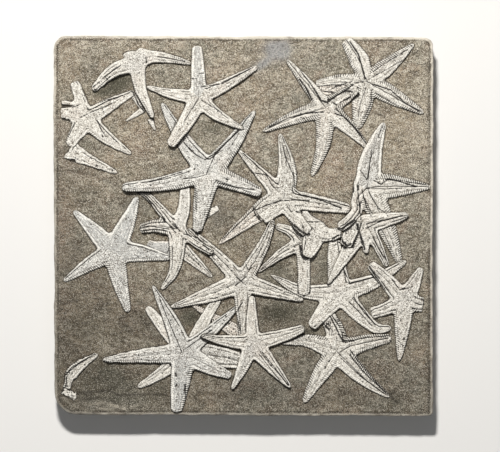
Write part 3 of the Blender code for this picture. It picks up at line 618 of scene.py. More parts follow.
# Creases and cracks in the fossils: the lines of each, by half their width in millimetres.
CREASES = {
    0.4: (
        ((97, 84), (117, 67)), ((104.5, 76.5), (109, 81)), ((158, 57), (185, 61.5)),
        ((199, 98), (184, 122)), ((201, 100), (222, 113)), ((196, 188), (196, 210)),
        ((237, 158), (257, 184)), ((286, 204), (291, 212)), ((367, 224.5), (384, 217)),
        ((369, 193), (379, 209), (387, 214)), ((373, 77), (402, 61)),
        ((375, 93), (391, 102.5), (412, 112)), ((366, 88), (361, 102), (358, 117)),
        ((372, 89), (371, 103), (364, 119)), ((259, 354), (284, 386)),
    ),
    0.5: (
        ((75, 123), (68, 137)), ((80, 118), (92, 112), (112, 104)), ((94, 87), (106, 76), (121, 65.5)),
        ((190, 79), (197, 79)), ((199, 74), (204, 73)),
        ((184, 179), (198, 177), (206, 175), (215, 155), (223, 150)),
        ((217, 183), (234, 187), (254, 190)),
        ((235, 153), (254, 173), (266, 175), (274, 188), (279, 188)),
        ((283, 147), (287, 161), (294, 177), (294.5, 190)), ((140, 228), (149, 226), (169, 229)),
        ((176, 233), (170, 226)), ((302, 224), (306, 240), (304, 250)), ((306, 222), (323, 222)),
        ((340, 103), (350, 97)), ((322, 91), (331, 92.5)), ((366, 188.5), (386, 189), (406, 188)),
        ((362, 190), (366, 206), (371, 216)), ((360, 170), (367, 180), (372, 150)),
        ((299, 69), (314, 89)), ((332, 88.5), (347, 83)), ((407, 50), (384, 64), (373, 72)),
        ((245, 262), (248, 270), (255, 266)), ((236, 277), (246, 285)), ((235, 286), (247, 276)),
        ((352, 298), (364, 310), (375, 325)), ((349, 302), (362, 315), (372, 326)),
        ((262, 352), (275, 368), (288, 385)), ((341, 358), (360, 376), (383, 393)),
        ((318, 330), (328, 324)), ((340, 352), (350, 346), (388, 338)), ((184, 350), (212, 330)),
        ((182, 352), (160, 300)),
    ),
    0.6: (
        ((84, 95), (89, 102.5), (99, 103), (106, 100), (118, 98)),
        ((71, 107), (76, 106.5), (80, 104.5)), ((98, 122), (101, 129), (106, 137)),
        ((146, 58), (146.5, 63)), ((149, 117.5), (153.5, 118.5)), ((202, 87), (222, 84), (250, 69)),
        ((184, 143), (196, 155), (205, 160), (214, 154), (240, 130)), ((150, 182), (182, 172)),
        ((254, 211), (266, 205.5), (280, 201), (294, 200), (309, 201)),
        ((147, 197), (155, 211), (165, 221), (173, 228)), ((184, 234), (198, 238), (209, 250)),
        ((366, 228.5), (379, 222), (402, 215.5)), ((373, 237), (378, 248), (386, 260)),
        ((357, 185), (359, 203), (361, 220)), ((268.5, 127.5), (289, 118), (306, 113.5)),
        ((236, 312), (240, 330)), ((343, 268), (350, 284), (375, 277)),
        ((392, 280), (400, 290), (408, 288)), ((415, 303), (421, 305)),
        ((350, 350), (362, 366), (385, 392)), ((322, 322), (329, 330)),
        ((66, 374), (78, 364.5), (92, 356)),
    ),
    0.7: (
        ((176, 146), (185, 135)), ((296, 211.5), (302, 213)), ((322, 242), (331, 241), (338, 235)),
        ((336, 96), (346, 91), (352, 92)),
        ((374, 180.5), (381, 184.5), (388, 179.5), (397, 181), (416, 186.5)),
        ((334, 113.5), (343, 116.5), (352, 125), (364, 138)),
        ((373, 84.5), (390.5, 90), (405, 103), (419, 111.5)), ((354, 83), (363, 82.5)),
        ((369, 310), (371, 311.5)), ((330, 316), (337, 330), (342, 340), (354, 341)),
        ((223, 328), (234, 316), (242, 303)),
    ),
    0.8: (
        ((102, 135), (103, 137)), ((95, 89.5), (98, 92)),
        ((294.5, 190), (301, 195.5), (314, 198), (330, 203.5), (341, 208.5)),
        ((253, 208.5), (256.5, 217), (268.5, 226.5)), ((350, 42), (358, 54), (361.5, 65), (365, 79)),
        ((369, 267), (385, 290)), ((185, 385), (186, 410)),
    ),
    0.9: (
        ((131.5, 88), (138.5, 104.5), (149, 118)), ((226.5, 179), (227.5, 180)),
        ((174, 224), (180, 231)), ((300, 80), (306, 88), (312, 100)), ((333, 103), (336.5, 105)),
        ((306, 113.5), (323, 112)), ((176.5, 384), (176, 386)),
    ),
    1.0: (
        ((175.5, 373), (176.5, 376)),
    ),
    1.1: (
        ((341.5, 233), (342, 241), (347, 246), (351, 244)),
    ),
    1.2: (
        ((314, 89), (321, 100.5), (327, 102.5), (334, 98)),
    ),
    1.3: (
        ((286, 218), (292, 224), (299, 230), (306, 234.5)),
    ),
    1.4: (
        ((337, 228), (341, 230), (348, 224), (355, 221)), ((357, 225), (360.5, 236), (364, 249)),
    ),
    1.5: (
        ((300, 246), (301, 254.5), (305, 259.5)),
    ),
}

# Places where a fossil's margin is broken away.
BITES = (
    Patch((61, 106.6), (9, 1.5), 14.0), Patch((60, 121), (4, 2.4), 9.0),
    Patch((64, 128), (4, 2.4), 8.0), Patch((59, 113.5), (2.6, 1.4), 8.0),
    Patch((70, 100), (3, 2), 2.0, 30.0), Patch((68, 374), (2.5, 1), 3.0, -30.0),
    Patch((118, 53), (8, 3), 2.0, -25.0), Patch((74, 160), (3, 2), 3.0), Patch((427, 301), (4, 1), 3.0),
)


# ---------------------------------------------------------------- the plan


def eased(value: Field) -> Field:
    """A smooth step from 0 to 1 as the value goes from 0 to 1."""
    held = np.clip(value, 0.0, 1.0)
    return held * held * (3.0 - 2.0 * held)


def bump_at(value: Field, middle: float, spread: float) -> Field:
    """A smooth bump, 1 high, round a middle value."""
    return np.exp(-(((value - middle) / spread) ** 2))


def blended_most(first: Field, second: Field, blend: float) -> Field:
    """The larger of two fields, rounded where they are within a blend of each other.

    Args:
        first: One field, in millimetres.
        second: The other.
        blend: How near they are when the rounding starts.

    Returns:
        The rounded larger field.
    """
    nearness = np.clip(blend - np.abs(first - second), 0.0, None) / blend
    return np.maximum(first, second) + nearness * nearness * blend / 4.0


Block = tuple[slice, slice]


@dataclass(frozen=True)
class Window:
    """A rectangle of evenly spaced places on the plan, numbered on one shared grid."""

    pitch: float
    first_column: int
    first_row: int
    columns: int
    rows: int

    @staticmethod
    def round_box(pitch: float, low: Place, high: Place) -> "Window":
        """A window that holds a box on the plan.

        Args:
            pitch: The grid's spacing.
            low: The box's upper left corner.
            high: Its lower right corner.

        Returns:
            The window.
        """
        first_column, first_row = (math.floor(value / pitch) for value in low)
        last_column, last_row = (math.ceil(value / pitch) for value in high)
        columns, rows = last_column - first_column + 1, last_row - first_row + 1
        return Window(pitch, first_column, first_row, columns, rows)

    def places(self) -> tuple[Field, Field]:
        """The places' distances right and down, in millimetres."""
        right = (self.first_column + np.arange(self.columns)) * self.pitch
        down = (self.first_row + np.arange(self.rows)) * self.pitch
        return np.meshgrid(right, down)

    def corners(self) -> tuple[Place, Place]:
        """The first and the last of its places."""
        low = (self.first_column * self.pitch, self.first_row * self.pitch)
        last_column, last_row = self.first_column + self.columns - 1, self.first_row + self.rows - 1
        return low, (last_column * self.pitch, last_row * self.pitch)

    def shared(self, other: "Window") -> Optional[tuple[Block, Block]]:
        """The places that two windows share.

        Args:
            other: A window on the same grid.

        Returns:
            Slices of this window and of the other one, or None where they don't meet.
        """
        left = max(self.first_column, other.first_column)
        right = min(self.first_column + self.columns, other.first_column + other.columns)
        top = max(self.first_row, other.first_row)
        bottom = min(self.first_row + self.rows, other.first_row + other.rows)
        if left >= right or top >= bottom:
            return None

        def own(window: Window) -> Block:
            """The shared places, numbered in one window."""
            rows = slice(top - window.first_row, bottom - window.first_row)
            return rows, slice(left - window.first_column, right - window.first_column)

        return own(self), own(other)

    def sample(self, values: Field, right: Field, down: Field) -> Field:
        """Values between the window's places.

        Args:
            values: One value for each of the window's places.
            right: The wanted distances right, in millimetres.
            down: The wanted distances down.

        Returns:
            The value at each wanted place, between its four neighbours.
        """
        column = np.clip(right / self.pitch - self.first_column, 0.0, self.columns - 1.001)
        row = np.clip(down / self.pitch - self.first_row, 0.0, self.rows - 1.001)
        left, top = column.astype(int), row.astype(int)
        across, below = column - left, row - top
        upper = values[top, left] * (1.0 - across) + values[top, left + 1] * across
        lower = values[top + 1, left] * (1.0 - across) + values[top + 1, left + 1] * across
        return upper * (1.0 - below) + lower * below


class Clouds:
    """Smooth random fields over the plan, the same on every run.

    They start before the plan's datum and run past the slab.
    """

    before = 60.0
    span = 620.0
    strength = 1.3

    def __init__(self) -> None:
        """Start with no fields made."""
        self.lattices: dict[tuple[float, int], Field] = {}

    def at(self, right: Field, down: Field, size: float, seed: int) -> Field:
        """A random field's values.

        Args:
            right: Distances right, in millimetres.
            down: Distances down.
            size: The size of the field's lumps.
            seed: Which field it is.

        Returns:
            Values from about -1 to 1.
        """
        key = (size, seed)
        if key not in self.lattices:
            count = int(self.span / size) + 4
            chance = np.random.default_rng(seed)
            self.lattices[key] = chance.uniform(-self.strength, self.strength, (count, count))
        lattice = self.lattices[key]
        last = lattice.shape[0] - 2
        column, row = (right + self.before) / size, (down + self.before) / size
        left, top = (np.clip(value.astype(int), 0, last) for value in (column, row))
        across, below = eased(column - left), eased(row - top)
        upper = lattice[top, left] * (1.0 - across) + lattice[top, left + 1] * across
        lower = lattice[top + 1, left] * (1.0 - across) + lattice[top + 1, left + 1] * across
        return upper * (1.0 - below) + lower * below


CLOUDS = Clouds()


# ---------------------------------------------------------------- a relief made into a body


Rule = Callable[[Field, Field, Field], Union[Field, float]]


@dataclass(frozen=True)
class Ring:
    """One line of a wall, below a relief's margin.

    outset is how far it lies outside the margin, and height how high above the slab's foot
    it lies, worked out from its places right and down and the margin's own height.
    """

    outset: Rule
    height: Rule


@dataclass
class Relief:
    """A form over a window of the plan.

    reach is how far inside the margin each place lies, and height how high the surface
    stands there. Both are in millimetres. traces are values that the finish reads.
    """

    trims: ClassVar[int] = 6
    settlings: ClassVar[int] = 4
    least_slope: ClassVar[float] = 0.2
    furthest_settled: ClassVar[float] = 0.95
    wall_step: ClassVar[float] = 50.0

    window: Window
    reach: Field
    height: Field
    traces: dict[str, Field]

    def kept_cells(self) -> Field:
        """The grid's cells that lie on the form, without loose cells or bare corners."""
        reach = self.reach
        middle = (reach[:-1, :-1] + reach[1:, :-1] + reach[:-1, 1:] + reach[1:, 1:]) / 4.0
        kept = middle > 0.0
        kept[0, :] = kept[-1, :] = False
        kept[:, 0] = kept[:, -1] = False
        kept = ~largest_patch(~largest_patch(kept))
        for _ in range(self.trims):
            a, b, c, d = kept[:-1, :-1], kept[:-1, 1:], kept[1:, :-1], kept[1:, 1:]
            falling = a & d & ~b & ~c
            rising = b & c & ~a & ~d
            if not (falling.any() or rising.any()):
                break
            kept[1:, 1:] &= ~falling
            kept[1:, :-1] &= ~rising
            kept = largest_patch(kept)
        return kept

    def settled(self, kept: Field) -> tuple[Field, Field]:
        """The grid's places, with those at the margin moved onto it.

        Args:
            kept: The cells that are kept.

        Returns:
            Distances right and down for every place.
        """
        right, down = self.window.places()
        around = np.zeros(right.shape, int)
        for rows in (slice(None, -1), slice(1, None)):
            for columns in (slice(None, -1), slice(1, None)):
                around[rows, columns] += kept
        edge = (around > 0) & (around < 4)
        slope_down, slope_right = np.gradient(self.reach, self.window.pitch)
        most = self.window.pitch * self.furthest_settled
        start_x, start_y = right[edge], down[edge]
        x, y = start_x.copy(), start_y.copy()
        for _ in range(self.settlings):
            short = self.window.sample(self.reach, x, y)
            rightward = self.window.sample(slope_right, x, y)
            downward = self.window.sample(slope_down, x, y)
            steep = np.maximum(rightward**2 + downward**2, self.least_slope)
            x -= short * rightward / steep
            y -= short * downward / steep
            x = np.clip(x, start_x - most, start_x + most)
            y = np.clip(y, start_y - most, start_y + most)
        right[edge], down[edge] = x, y
        return right, down

    def outward(self, right: Field, down: Field) -> tuple[Field, Field]:
        """The direction out of the form at places on its margin.

        Args:
            right: The places' distances right.
            down: Their distances down.

        Returns:
            The direction's parts right and down.
        """
        slope_down, slope_right = np.gradient(softened(self.reach, 2), self.window.pitch)
        rightward = -self.window.sample(slope_right, right, down)
        downward = -self.window.sample(slope_down, right, down)
        length = np.maximum(np.hypot(rightward, downward), 1e-6)
        return rightward / length, downward / length

    def body(self, name: str, rings: Sequence[Ring]) -> bpy.types.Object:
        """A closed body: the relief's surface, its walls and its underside.

        Args:
            name: The piece's name.
            rings: The walls' lines, from the margin downwards.

        Returns:
            The piece.
        """
        kept = self.kept_cells()
        piece = self.cut_grid(name, kept)
        right, down = self.settled(kept)
        mesh = piece.data
        points = raw_points(mesh) + 0.5
        column = np.rint(points[:, 0] * (self.window.columns - 1)).astype(int)
        row = np.rint(points[:, 1] * (self.window.rows - 1)).astype(int)
        x, y = right[row, column], down[row, column]
        place(mesh, x, y, self.window.sample(self.height, x, y))
        self.add_walls(piece, rings)
        self.mark(mesh)
        return piece

    def cut_grid(self, name: str, kept: Field) -> bpy.types.Object:
        """A grid with only the kept cells, one unit wide.

        Args:
            name: The piece's name.
            kept: The cells that are kept.

        Returns:
            The piece, still flat.
        """
        bpy.ops.object.select_all(action="DESELECT")
        bpy.ops.mesh.primitive_grid_add(
            x_subdivisions=self.window.columns - 1, y_subdivisions=self.window.rows - 1, size=1.0
        )
        piece = bpy.context.object
        piece.name = piece.data.name = name
        mesh = piece.data
        centres = np.empty(len(mesh.polygons) * 3)
        mesh.polygons.foreach_get("center", centres)
        centres = centres.reshape(-1, 3)
        columns = ((centres[:, 0] + 0.5) * (self.window.columns - 1)).astype(int)
        rows = ((centres[:, 1] + 0.5) * (self.window.rows - 1)).astype(int)
        select_only(mesh, faces=~kept[rows, columns])
        bpy.context.tool_settings.mesh_select_mode = (False, False, True)
        bpy.ops.object.mode_set(mode="EDIT")
        bpy.ops.mesh.delete(type="FACE")
        bpy.ops.object.mode_set(mode="OBJECT")
        return piece

    def add_walls(self, piece: bpy.types.Object, rings: Sequence[Ring]) -> None:
        """Extrude the margin down line by line, and close the underside.

        Args:
            piece: The open surface.
            rings: The walls' lines, from the margin downwards.
        """
        mesh = piece.data
        drop = (0.0, 0.0, -self.wall_step * MM)
        bpy.context.tool_settings.mesh_select_mode = (False, True, False)
        bpy.ops.object.mode_set(mode="EDIT")
        bpy.ops.mesh.select_all(action="DESELECT")
        bpy.ops.mesh.select_non_manifold()
        for _ in rings:
            bpy.ops.mesh.extrude_edges_move(TRANSFORM_OT_translate={"value": drop})
        bpy.ops.mesh.edge_face_add()
        bpy.ops.object.mode_set(mode="OBJECT")
        x, y, z = places_of(mesh)
        margin = self.window.sample(self.height, x, y)
        line = np.rint((margin - z) / self.wall_step).astype(int)
        outward_right, outward_down = self.outward(x, y)
        new_x, new_y, new_z = x.copy(), y.copy(), z.copy()
        for number, ring in enumerate(rings, start=1):
            on = line == number
            outset = ring.outset(x[on], y[on], margin[on])
            new_x[on] = x[on] + outward_right[on] * outset
            new_y[on] = y[on] + outward_down[on] * outset
            new_z[on] = ring.height(x[on], y[on], margin[on])
        place(mesh, new_x, new_y, new_z)
        write_trace(mesh, "wall", line / len(rings))
        bpy.ops.object.mode_set(mode="EDIT")
        bpy.ops.mesh.select_all(action="SELECT")
        bpy.ops.mesh.normals_make_consistent(inside=False)
        bpy.ops.object.mode_set(mode="OBJECT")
        bpy.ops.object.shade_smooth()

    def mark(self, mesh: bpy.types.Mesh) -> None:
        """Write the relief's traces on the mesh, for its finish to read."""
        x, y, _ = places_of(mesh)
        for name, values in self.traces.items():
            write_trace(mesh, name, self.window.sample(values, x, y))


def largest_patch(kept: Field) -> Field:
    """The largest group of kept cells that are joined side to side.

    Args:
        kept: The kept cells.

    Returns:
        The cells of that group.
    """
    numbers = np.where(kept, np.arange(kept.size).reshape(kept.shape) + 1, 0)
    while True:
        before = numbers.copy()
        for axis in (0, 1):
            for turn in (1, -1):
                line = np.moveaxis(numbers, axis, 0)[::turn]
                for index in range(1, line.shape[0]):
                    joined = (line[index] > 0) & (line[index - 1] > line[index])
                    line[index][joined] = line[index - 1][joined]
        if (numbers == before).all():
            break
    names, counts = np.unique(numbers[numbers > 0], return_counts=True)
    return numbers == names[np.argmax(counts)]


def softened(values: Field, times: int) -> Field:
    """A field with each value evened with its neighbours'.

    Args:
        values: The field.
        times: How often it is evened.

    Returns:
        The softer field.
    """
    for _ in range(times):
        padded = np.pad(values, 1, mode="edge")
        beside = padded[1:-1, 1:-1] * 2.0 + padded[:-2, 1:-1] + padded[2:, 1:-1]
        values = (beside + padded[1:-1, :-2] + padded[1:-1, 2:]) / 6.0
    return values


def raw_points(mesh: bpy.types.Mesh) -> Field:
    """A mesh's points as they are kept, one to a row."""
    points = np.empty(len(mesh.vertices) * 3)
    mesh.vertices.foreach_get("co", points)
    return points.reshape(-1, 3)


def places_of(mesh: bpy.types.Mesh) -> tuple[Field, Field, Field]:
    """The points of a mesh, right and down on the plan and up, in millimetres."""
    points = raw_points(mesh) / MM
    return points[:, 0] + MIDDLE[0], MIDDLE[1] - points[:, 1], points[:, 2]


def place(mesh: bpy.types.Mesh, right: Field, down: Field, up: Field) -> None:
    """Move a mesh's points to places on the plan.

    Args:
        mesh: The mesh.
        right: Distances right, in millimetres.
        down: Distances down.
        up: Heights above the slab's foot.
    """
    points = np.stack([right - MIDDLE[0], MIDDLE[1] - down, up], axis=1) * MM
    mesh.vertices.foreach_set("co", points.ravel())
    mesh.update()


def select_only(mesh: bpy.types.Mesh, faces: Field) -> None:
    """Select some of a mesh's faces and nothing else."""
    mesh.vertices.foreach_set("select", np.zeros(len(mesh.vertices), bool))
    mesh.edges.foreach_set("select", np.zeros(len(mesh.edges), bool))
    mesh.polygons.foreach_set("select", faces)


def write_trace(mesh: bpy.types.Mesh, name: str, values: Field) -> None:
    """Keep one value for each point of a mesh, under a name."""
    trace = mesh.attributes.get(name) or mesh.attributes.new(name, "FLOAT", "POINT")
    trace.data.foreach_set("value", np.clip(values, 0.0, 1.0).astype(np.float32))


# ---------------------------------------------------------------- the fossils


class Spine:
    """An arm's middle line, measured along its length."""

    steps = 5
    disc_reach = 1.4
    tip_round = 0.93
    waist_end = 1.4
    waist_reach = 1.6

    def __init__(self, arm: Arm, centre: Optional[Place]) -> None:
        """Draw the line through the arm's points.

        Args:
            arm: The arm.
            centre: The starfish's centre, or None for a loose arm.
        """
        self.arm = arm
        self.points = self.smooth_route(arm.route if centre is None else (centre, *arm.route))
        spans = np.diff(self.points, axis=0)
        self.marks = np.concatenate([[0.0], np.cumsum(np.hypot(spans[:, 0], spans[:, 1]))])
        self.length = float(self.marks[-1])
        self.shoulder = 0.0 if centre is None else self.disc_reach * arm.half_width

    def smooth_route(self, points: Sequence[Place]) -> Field:
        """A Catmull-Rom curve through the points.

        Args:
            points: The points, in order.

        Returns:
            The curve's own closely spaced points.
        """
        knots = np.array(points, float)
        knots = np.vstack([2 * knots[0] - knots[1], knots, 2 * knots[-1] - knots[-2]])
        curve = []
        for a, b, c, d in zip(knots, knots[1:], knots[2:], knots[3:]):
            for t in np.arange(self.steps) / self.steps:
                cubic = (3 * b - a - 3 * c + d) * t**3
                square = (2 * a - 5 * b + 4 * c - d) * t**2
                curve.append(0.5 * (2 * b + (c - a) * t + square + cubic))
        curve.append(knots[-2])
        return np.array(curve)

    def share(self, along: Field) -> Field:
        """How far out a distance is, from 0 at the shoulder to 1 at the tip."""
        return np.clip((along - self.shoulder) / (self.length - self.shoulder), 0.0, 1.0)

    def half_width(self, along: Field) -> Field:
        """Half the arm's width at distances along it."""
        share = self.share(along)
        width = self.arm.end + (1.0 - self.arm.end) * (1.0 - share**self.arm.taper)
        narrowed = eased(self.waist_end - along / (self.waist_reach * self.arm.half_width))
        width *= 1.0 - self.arm.waist * narrowed
        past = np.clip((share - self.tip_round) / (1.0 - self.tip_round), 0.0, 1.0)
        return self.arm.half_width * width * np.sqrt(1.0 - past**2)

    def box(self, margin: float) -> tuple[Place, Place]:
        """The corners of a box round the arm, with a margin."""
        reach = self.arm.half_width + margin
        low, high = self.points.min(axis=0) - reach, self.points.max(axis=0) + reach
        return (low[0], low[1]), (high[0], high[1])

    def locate(self, right: Field, down: Field) -> tuple[Field, Field]:
        """Distance along the line and distance aside from it, for places on the plan.

        Args:
            right: The places' distances right.
            down: Their distances down.

        Returns:
            Distances along, and distances aside, which are negative on the left.
        """
        best = np.full(right.shape, FAR**2)
        along, side = np.zeros(right.shape), np.zeros(right.shape)
        for a, b, mark in zip(self.points, self.points[1:], self.marks):
            span = b - a
            length = math.hypot(*span)
            x, y = right - a[0], down - a[1]
            share = np.clip((x * span[0] + y * span[1]) / length**2, 0.0, 1.0)
            far = (x - share * span[0]) ** 2 + (y - share * span[1]) ** 2
            nearer = far < best
            best = np.where(nearer, far, best)
            along = np.where(nearer, mark + share * length, along)
            side = np.where(nearer, x * span[1] - y * span[0], side)
        return along, np.sqrt(best) * np.where(side > 0.0, -1.0, 1.0)

    def ahead(self, right: Field, down: Field) -> Field:
        """How far places lie in front of the line's start."""
        span = self.points[1] - self.points[0]
        span = span / math.hypot(*span)
        return (right - self.points[0][0]) * span[0] + (down - self.points[0][1]) * span[1]


@dataclass
class Marks:
    """What is cut into a fossil's surface, from 0 to about 1 at each place.

    rim is the line inside the pale margin, furrow the middle line, rows the dots beside it,
    pits the pits and creases, gaps the gaps in the margin, and broken where plates are
    crushed. plates is the rise and fall of the cross plates.
    """

    rim: Field
    furrow: Field
    rows: Field
    pits: Field
    gaps: Field
    broken: Field
    plates: Field

    def rise(self) -> Field:
        """How far they raise the surface, in millimetres."""
        lines = 0.45 * self.plates - 1.1 * self.rim - 0.9 * self.furrow - 0.4 * self.rows
        return lines - 0.9 * self.pits - 0.7 * self.broken

    def darkness(self) -> Field:
        """How dark they are, from 0 to 1."""
        dark = self.rim + self.furrow + 0.7 * self.rows + self.pits + self.gaps + 0.9 * self.broken
        return np.clip(dark + 0.8 * np.clip(-self.plates, 0.0, 1.0), 0.0, 1.0)


@dataclass
class FossilRelief:
    """A starfish or a loose arm, worked out as a relief.

    Its cross-section is a rounded margin, a pale band of cross plates, a dark line inside
    the band, and a grainier middle with a furrow along it. The sizes are in millimetres.
    """

    fossil: Fossil
    pitch: float = 0.4
    rim_height: float = 2.1
    ridge_height: float = 2.9
    furrow_depth: float = 1.15
    lift_share: float = 0.65
    tip_lift: float = 0.9
    tip_drop: float = 0.3
    lift_start: float = 0.2
    notch: float = 4.5
    blunt_end: float = 8.0
    least_width: float = 0.5
    edge_round: float = 0.85
    plate_pitch: float = 2.05
    plate_shift: float = 0.6
    tooth_reach: float = 0.38
    foot: float = 27.6
    margin: float = 4.5
    mark_margin: float = 3.0
    pit_sizes: Sides = (0.35, 0.75)
    relief: Relief = field(init=False)

    def __post_init__(self) -> None:
        """Work out the relief."""
        self.spines = [Spine(arm, self.fossil.centre) for arm in self.fossil.arms]
        boxes = [spine.box(self.margin) for spine in self.spines]
        low = (min(box[0][0] for box in boxes), min(box[0][1] for box in boxes))
        high = (max(box[1][0] for box in boxes), max(box[1][1] for box in boxes))
        self.window = Window.round_box(self.pitch, low, high)
        self.right, self.down = self.window.places()
        self.seed = sum(ord(letter) for letter in self.fossil.name)
        self.lay_out_arms()
        self.relief = self.carve()

    def seed_of(self, number: int) -> int:
        """The seed of one of this fossil's random fields."""
        return self.seed * 7 + number

    def cloud(self, size: float, number: int = 0) -> Field:
        """A random field over this fossil's window."""
        return CLOUDS.at(self.right, self.down, size, self.seed_of(number))

    def lay_out_arms(self) -> None:
        """Find, for each place, how far inside the margin it is, and where on which arm."""
        shape = self.right.shape
        self.reach, self.ratio = np.full(shape, -FAR), np.full(shape, FAR)
        self.along, self.aside, self.width = np.zeros(shape), np.full(shape, FAR), np.ones(shape)
        self.out, self.lift = np.zeros(shape), np.full(shape, self.lift_share * self.fossil.rise)
        self.look = {item.name: np.zeros(shape) for item in fields(Look)}
        for number, spine in enumerate(self.spines):
            box = Window.round_box(self.pitch, *spine.box(self.margin))
            _, near = box.shared(self.window)
            along, aside = spine.locate(self.right[near], self.down[near])
            width = spine.half_width(along)
            inside = width - np.abs(aside)
            if self.fossil.centre is None:
                ahead = spine.ahead(self.right[near], self.down[near])
                inside = np.where(along < self.blunt_end, np.minimum(inside, ahead), inside)
            self.reach[near] = blended_most(self.reach[near], inside, self.notch)
            ratio = np.abs(aside) / np.maximum(width, self.least_width)
            closer = ratio < self.ratio[near]
            out = spine.share(along)
            raised = eased((out - self.lift_start) / (1.0 - self.lift_start))
            rise = self.tip_lift * raised * spine.arm.tip_rise
            found = {"ratio": ratio, "aside": aside, "width": width, "out": out}
            found["along"] = along + number * self.plate_shift
            found["lift"] = self.lift_share * self.fossil.rise + rise
            for name, values in found.items():
                held = getattr(self, name)
                held[near] = np.where(closer, values, held[near])
            for name, held in self.look.items():
                chosen = getattr(spine.arm.look, name)
                left, right = chosen if isinstance(chosen, tuple) else (chosen, chosen)
                held[near] = np.where(closer, np.where(aside < 0.0, left, right), held[near])

    def carve(self) -> Relief:
        """Cut the margin and the marks, and raise the surface."""
        phase = 2.0 * math.pi * (self.along + 0.3 * np.abs(self.aside)) / self.plate_pitch
        self.beat = np.cos(phase + 0.8 * self.cloud(4.0, 11))
        self.ribs = self.look["ribs"] * 1.35 + 0.1
        self.teeth = 0.7 * self.look["teeth"] + 0.2 * self.ribs
        self.crust = self.crust_over()
        self.bare = 1.0 - 0.9 * self.crust
        self.wide = eased((self.width - 1.2) / 1.2)
        self.band = np.minimum(self.look["band"], 0.42 * self.width) + 0.22 * self.cloud(6.0, 12)
        reach = self.worn_reach()
        self.banded = eased((self.band + 0.3 - reach) / 0.6)
        self.strand = self.strands()
        marks = self.marks(reach)
        height = FACE + self.lift + np.maximum(self.thickness(reach, marks), 0.0)
        return Relief(self.window, reach, height, self.traces(reach, marks))

    def worn_reach(self) -> Field:
        """How far inside the margin places lie, with its teeth, its ragged line and its bites."""
        reach = self.reach + self.tooth_reach * self.teeth * self.beat
        wander = 0.55 * self.cloud(2.3) + 0.4 * self.cloud(0.9, 1) + 0.7 * self.cloud(6.0, 2)
        reach += self.look["ragged"] * wander
        for bite in BITES:
            reach -= bite.over(self.right, self.down)
        return reach

    def crust_over(self) -> Field:
        """How far the granular crust round the centre hides what lies under it."""
        fossil = self.fossil
        if fossil.centre is None:
            return np.zeros(self.right.shape)
        far = np.hypot(self.right - fossil.centre[0], self.down - fossil.centre[1])
        return fossil.crust * eased(1.4 - far / fossil.crust_reach + 0.25 * self.cloud(5.0, 3))

    def strands(self) -> Field:
        """Fine strands that run along the arms, from about -1 to 1."""
        halves = self.along * 0.3 + 90.0 * (self.aside > 0.0)
        long = CLOUDS.at(halves, np.abs(self.aside), 0.85, self.seed_of(31))
        short = CLOUDS.at(self.along * 0.8, self.aside + 80.0, 0.95, self.seed_of(32))
        return 0.65 * long + 0.35 * short

    def marks(self, reach: Field) -> Marks:
        """Work out what is cut into the surface.

        Args:
            reach: How far inside the worn margin each place lies.

        Returns:
            The marks.
        """
        middle = self.aside + 0.4 * self.cloud(5.0, 13) * np.clip(self.width / 6.0, 0.0, 1.0)
        gaps = 1.05 * self.teeth * np.clip(-self.beat, 0.0, 1.0) * bump_at(reach, 0.2, 0.95)
        cracks = np.maximum(
            bump_at(self.cloud(4.2, 21), 0.0, 0.2), bump_at(self.cloud(2.6, 22), 0.1, 0.2)
        )
        creases = self.creases() * eased(reach / 0.6) * (0.9 + 0.3 * self.cloud(1.7, 14))
        return Marks(
            rim=self.rim_line(reach),
            furrow=self.furrow_line(middle),
            rows=self.dot_rows(middle),
            pits=np.maximum(self.pits(), creases),
            gaps=gaps * (0.6 + 0.5 * self.cloud(5.0, 24)),
            broken=self.look["crumble"] * cracks * eased(0.6 + self.cloud(7.0, 23)),
            plates=self.cross_plates(),
        )

    def rim_line(self, reach: Field) -> Field:
        """The dark line inside the pale margin."""
        dark = self.look["line"]
        shown = (0.15 + 1.1 * dark) * eased(0.45 + 0.9 * dark + 0.8 * self.cloud(4.0, 4))
        return bump_at(reach, self.band, 0.5) * self.wide * self.bare * shown

    def furrow_line(self, middle: Field) -> Field:
        """The dark line along the middle, from the distance aside of it."""
        dark = self.look["furrow"]
        shown = (0.2 + 0.95 * dark) * eased(0.5 + dark + 0.8 * self.cloud(3.5, 5))
        return bump_at(middle, 0.0, 0.45) * eased((self.width - 0.8) / 0.9) * self.bare * shown

    def dot_rows(self, middle: Field) -> Field:
        """The rows of dots beside the middle, from the distance aside of it."""
        shown = eased(0.9 * self.cloud(3.6, 6) + 0.45) * (0.65 - 0.35 * self.beat) * self.bare
        shown *= 0.25 + 0.75 * self.look["speckle"]
        return bump_at(np.abs(middle), 0.3 * self.width, 0.34) * eased((self.width - 2.6) / 2.0) * shown

    def cross_plates(self) -> Field:
        """The rise and fall of the cross plates, strongest in the band."""
        plates = self.ribs * (0.25 + 0.75 * self.banded) * self.beat * (1.0 - self.crust)
        plates *= eased((np.abs(self.aside) - 0.7) / 0.8) * eased((self.width - 1.2) / 1.5)
        return plates * (0.8 + 0.4 * self.cloud(5.0, 7))

